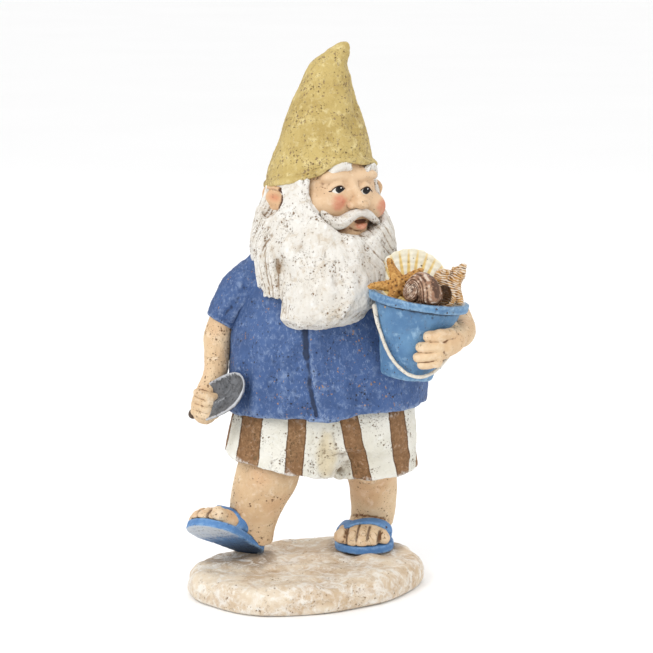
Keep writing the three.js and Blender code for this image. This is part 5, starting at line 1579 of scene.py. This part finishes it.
def make_beard():
    clay = mane_clay((-36, -46, 150), (57, 26, 247))
    for stops, radius in (
            (((-26, 212, -2, 0.6), (-28, 203, 0.5), (-22, 190, 2), (-18, 177, 1.5), (-34, 166, 0, 0.7)), 6.4),
            (((-8, 208, -1, 0.6), (-6, 199, 1), (-6, 186, 2), (-4, 174, 1.5), (-10, 167, 0, 0.7)), 6.8),
            (((10, 206, -1, 0.6), (12, 198, 1), (14, 186, 1.5), (14, 174, 1), (8, 168, 0, 0.7)), 6.4),
            (((28, 208, -1, 0.6), (28, 200, 0.5), (30, 188, 1), (30, 178, 0.5), (28, 170, 0, 0.5)), 5.2),
            (((48, 214, -1, 0.6), (48, 204, 0), (48, 192, 0.5), (46, 182, 0, 0.6)), 5.0),
            (((-76, 226, -1, 0.6), (-80, 212, 0), (-74, 198, 0.5), (-66, 186, 0, 0.6)), 4.6),
            (((-94, 224, -1, 0.6), (-96, 210, 0), (-90, 196, 0), (-84, 186, 0, 0.6)), 4.6),
            (((70, 224, -1, 0.6), (72, 210, 0), (70, 196, 0, 0.7)), 4.6),
            (((90, 224, -1, 0.6), (92, 210, 0), (90, 196, 0, 0.7)), 4.6)):
        lock(clay, stops, radius, 4.5)
    for rows in (((-22.5, -4, 224, 2.2), (-24.4, -6, 210, 3.3), (-25, -8, 196, 3.6), (-24, -10, 187, 3.3),
                  (-23.6, -10.5, 180, 2.7)),
                 ((-17.5, -16, 220, 2.2), (-22.5, -16, 208, 3.4), (-22.0, -16.5, 194, 3.9),
                  (-20.6, -17, 184, 3.9), (-19.8, -17.5, 175.5, 3.6)),
                 ((-13, -23, 212, 2.2), (-17.6, -22.5, 204, 3.2), (-17.2, -22.5, 192, 3.6),
                  (-15.6, -22.5, 183, 3.7), (-15.0, -22, 175.5, 3.5)),
                 ((-25, 6, 222, 2.6), (-27.4, 6, 208, 3.2), (-27, 6, 196, 3.4), (-25.4, 6, 188, 3.0),
                  (-24.6, 6, 182, 1.8))):
        clay.rod(rows, soft=1.2)
    for rows in (((-21.4, -25, 204, 0.5), (-20.4, -24, 194, 0.9), (-18.2, -24, 182, 0.9),
                  (-17.6, -23, 170, 0.8)),
                 ((-12, -30, 200, 0.4), (-12.6, -29, 190, 0.9), (-11.4, -28, 180, 1.0),
                  (-11.2, -26, 172, 0.9)),
                 ((-26.2, -15, 202, 0.5), (-25.0, -15, 192, 0.9), (-23.2, -15, 182, 0.9),
                  (-22.4, -14, 174, 0.8))):
        clay.rod(rows, soft=1.4, carve=True)
    clay.rod([(-9.8, -19, 165, 3.2), (-6, -25, 163.2, 4.2), (1, -28, 162.4, 4.6), (10, -29, 163, 4.4),
              (20, -27, 165.5, 4)], soft=4)
    clay.shape(lambda x, y, z: soft_max(x + 12.2 + (171 - z) * 0.14, z - 174.8 - 0.5 * np.sin(x * 1.7), 0.8),
               0.8, carve=True)
    clay.shape(lambda x, y, z: soft_max(x + 22.6, z - 179 - 0.5 * np.sin(y * 1.5), 0.8), 0.8, carve=True)

    def face(x, y, z):
        u, w, h = HEAD.local(x, y, z)
        angle = np.degrees(np.arctan2(h, u))
        radius = np.interp(angle, [a for a, _ in WINDOW], [r for _, r in WINDOW])
        return soft_max((np.sqrt(u * u + h * h) - radius) * 0.9, w + 8, 1.0)

    clay.shape(face, 3.0, carve=True)
    for rows in (((-24.6, -20.8, 10, 1.4), (-25.2, -21, 3, 1.6), (-23.9, -22.4, -3, 1.6),
                  (-20.6, -24.6, -8.2, 1.2)),
                 ((5, -26.5, -19.4, 1.2), (7.7, -25.2, -21.6, 1.7), (8.4, -24, -25, 1.2)),
                 ((21, -13, 16, 1.8), (23, -13, 8, 2.0), (25.5, -13, -1, 2.4), (28.0, -12, -12, 3.0))):
        clay.rod(HEAD.rows(rows), soft=1.0)
    clay.shape(lambda x, y, z: HAIR_PARTING + PARTING_LAP - y, 0.2, carve=True)
    for side in (-1, 1):
        x, y, z = HEAD.out((side * 38, 1, -2))
        clay.egg((x, y, z), (8.5, 12.5, 10.5), turn=HEAD.turn.T, soft=1.4, carve=True)
    clay.shape(lambda x, y, z: hat_floor(x, y) + 1 - z, 0.5, carve=True)
    skin = clay.cast().relax(1)
    p = skin.v
    across, azimuth = mane_flow(p)
    fine, wide = strand_relief(p, across, 2.6, 151)
    surface = smooth(24, 22, p[:, 1])
    side = smooth(30, 62, np.abs(azimuth + 4))
    skin.swell((fine * (0.2 + 0.5 * side) + wide * (0.34 + 0.42 * side) + rough(p, (7, 7, 14), 153, 3)
                * (1.1 - 0.5 * side)
                + rough(p, 2, 154, 2) * 0.12) * surface)
    skin.hollows(4, 0.9)
    skin.marks["hollow"] = np.minimum(skin.marks["hollow"] * (0.75 + 0.9 * side), 0.42)
    show("beard_hair", skin, HAIR, "beard")


def make_hair():
    clay = mane_clay((-36, 21, 170), (57, 53, 247))
    for azimuth in (108, 126, 144, 162, 180, 198, 216, 234, 252):
        lock(clay, ((azimuth, 236, -1, 0.6), (azimuth + 5, 222, 0), (azimuth - 3, 208, 0.5),
                    (azimuth + 2, 196, 0, 0.7)), 4.6)
    clay.shape(lambda x, y, z: y - HAIR_PARTING + PARTING_LAP, 0.2, carve=True)
    clay.shape(lambda x, y, z: hat_floor(x, y) + 1 - z, 0.5, carve=True)
    skin = clay.cast().relax(1)
    p = skin.v
    across, _ = mane_flow(p)
    fine, wide = strand_relief(p, across, 2.3, 161)
    skin.swell((fine * 0.45 + wide * 0.8 + rough(p, (6, 6, 9), 163, 3) * 0.5) * smooth(24, 26, p[:, 1]))
    skin.hollows(4, 0.75)
    show("hair_back", skin, HAIR, "hair")


HAT_AXIS = (10.4, 9.5)
# The brim's height at each azimuth about the hat's axis.
BRIM = [(-180, 235), (-150, 234), (-120, 233.5), (-84, 234), (-60, 236.4), (-45, 237.8), (-36, 238.8),
        (-22, 240.4), (-10, 242.4), (-3, 244.2), (2, 246), (7, 248),
        (12, 249.4), (18, 250.4), (24, 250.8), (30, 250.6), (38, 250), (56, 248.6), (66, 248), (88, 246.8),
        (120, 243), (150, 238), (180, 235)]
HAT_ROWS = [(225, 10.2, 10, 33.5, 35), (234, 10.4, 9.5, 32.2, 34), (242, 10.5, 9.5, 31.2, 32.5),
            (252, 10.6, 9.5, 28.8, 30), (266, 11.2, 9.8, 24.8, 25.5),
            (281, 12, 10, 20, 21), (292, 13, 10, 15.6, 16.5), (301, 14.0, 10, 12.8, 12.5),
            (307.5, 16.2, 10, 9.6, 9), (312.5, 19.4, 10, 5.6, 5.6), (315, 21.4, 10, 2.6, 2.8)]


def hat_floor(x, y):
    """Height of the brim edge in each direction from the hat's axis."""
    return np.interp(np.degrees(np.arctan2(x - HAT_AXIS[0], HAT_AXIS[1] - y)), *zip(*BRIM))


def make_hat():
    clay = Clay((-27, -29, 228), (48, 49, 319), 0.6)
    clay.column(HAT_ROWS, soft=0, cap=1, cap_top=3)

    heights, *ovals = zip(*HAT_ROWS)
    rolled = []
    for azimuth in range(-180, 181, 6):
        turn, z = math.radians(azimuth), np.interp(azimuth, *zip(*BRIM))
        cx, cy, a, b = (np.interp(z, heights, oval) for oval in ovals)
        rolled.append((cx + (a - 0.9) * math.sin(turn), cy - (b - 0.9) * math.cos(turn), z + 1.6, 2.0))
    for ends in zip(rolled, rolled[1:]):
        clay.rod(ends, soft=1.4, curve=False)
    clay.shape(lambda x, y, z: z - hat_floor(x, y), 0.8, carve=True)
    dents = (((-8.5, -19.7, 264), (7, 3.5, 9), 9.6), ((10, -9.3, 296), (5, 2.4, 7), 6.6),
             ((30.6, -8.3, 272), (5, 4, 7), 4.8),
             ((-18, 6, 262), (4, 8, 9), 6), ((30.6, 4.1, 284), (3, 6, 9), 7.8),
             ((27.4, 8, 304), (2.6, 5, 2.6), 6),
             ((6, 38, 270), (9, 4.5, 12), 5), ((26, 34.5, 266), (7, 4.5, 10), 5),
             ((29.5, 9, 306), (2.4, 5, 3.4), 4))
    for centre, halves, soft in dents:
        clay.egg(centre, halves, soft=soft, carve=True)
    clay.rod([(17.5, 10, 309, 5.0), (21.2, 10, 312.8, 3.8), (23.4, 10, 314.8, 2.5)], soft=3)
    skin = clay.skin(2, (((13, 13, 11), 171, 2, 0.5), (3.0, 172, 3, 0.2), (1.4, 173, 1, 0.09)), 4, 0.8)
    show("hat_cap", skin, HAT, "hat")


make_head()
make_ear("right_ear_skin", -1, "right_ear")
make_ear("left_ear_skin", 1, "left_ear")
make_brow("right_brow_hair", [(-15.6, -23.8, 12.6, 0.5), (-12.6, -25.6, 14.6, 1.6), (-9.0, -26.6, 16.8, 2.8),
                              (-4.6, -26.8, 18.0, 2.8), (-0.6, -26.6, 16.6, 1.8)], "right_eyebrow", 181)
make_brow("left_brow_hair", [(8.6, -27.0, 14.4, 0.9), (12, -25.4, 15.2, 2.2), (16, -22.8, 15.2, 2.7),
                             (19.4, -19.6, 12.8, 2.0), (20.8, -17.8, 8.8, 0.8)], "left_eyebrow", 184)
make_moustache()
make_beard()
make_hair()
make_hat()

# ---- Hidden pins -------------------------------------------------------------------

for name in ("right_leg_pin", "left_leg_pin"):
    pin = bpy.data.objects[name]
    for place in pin.material_slots:
        place.material = STEEL
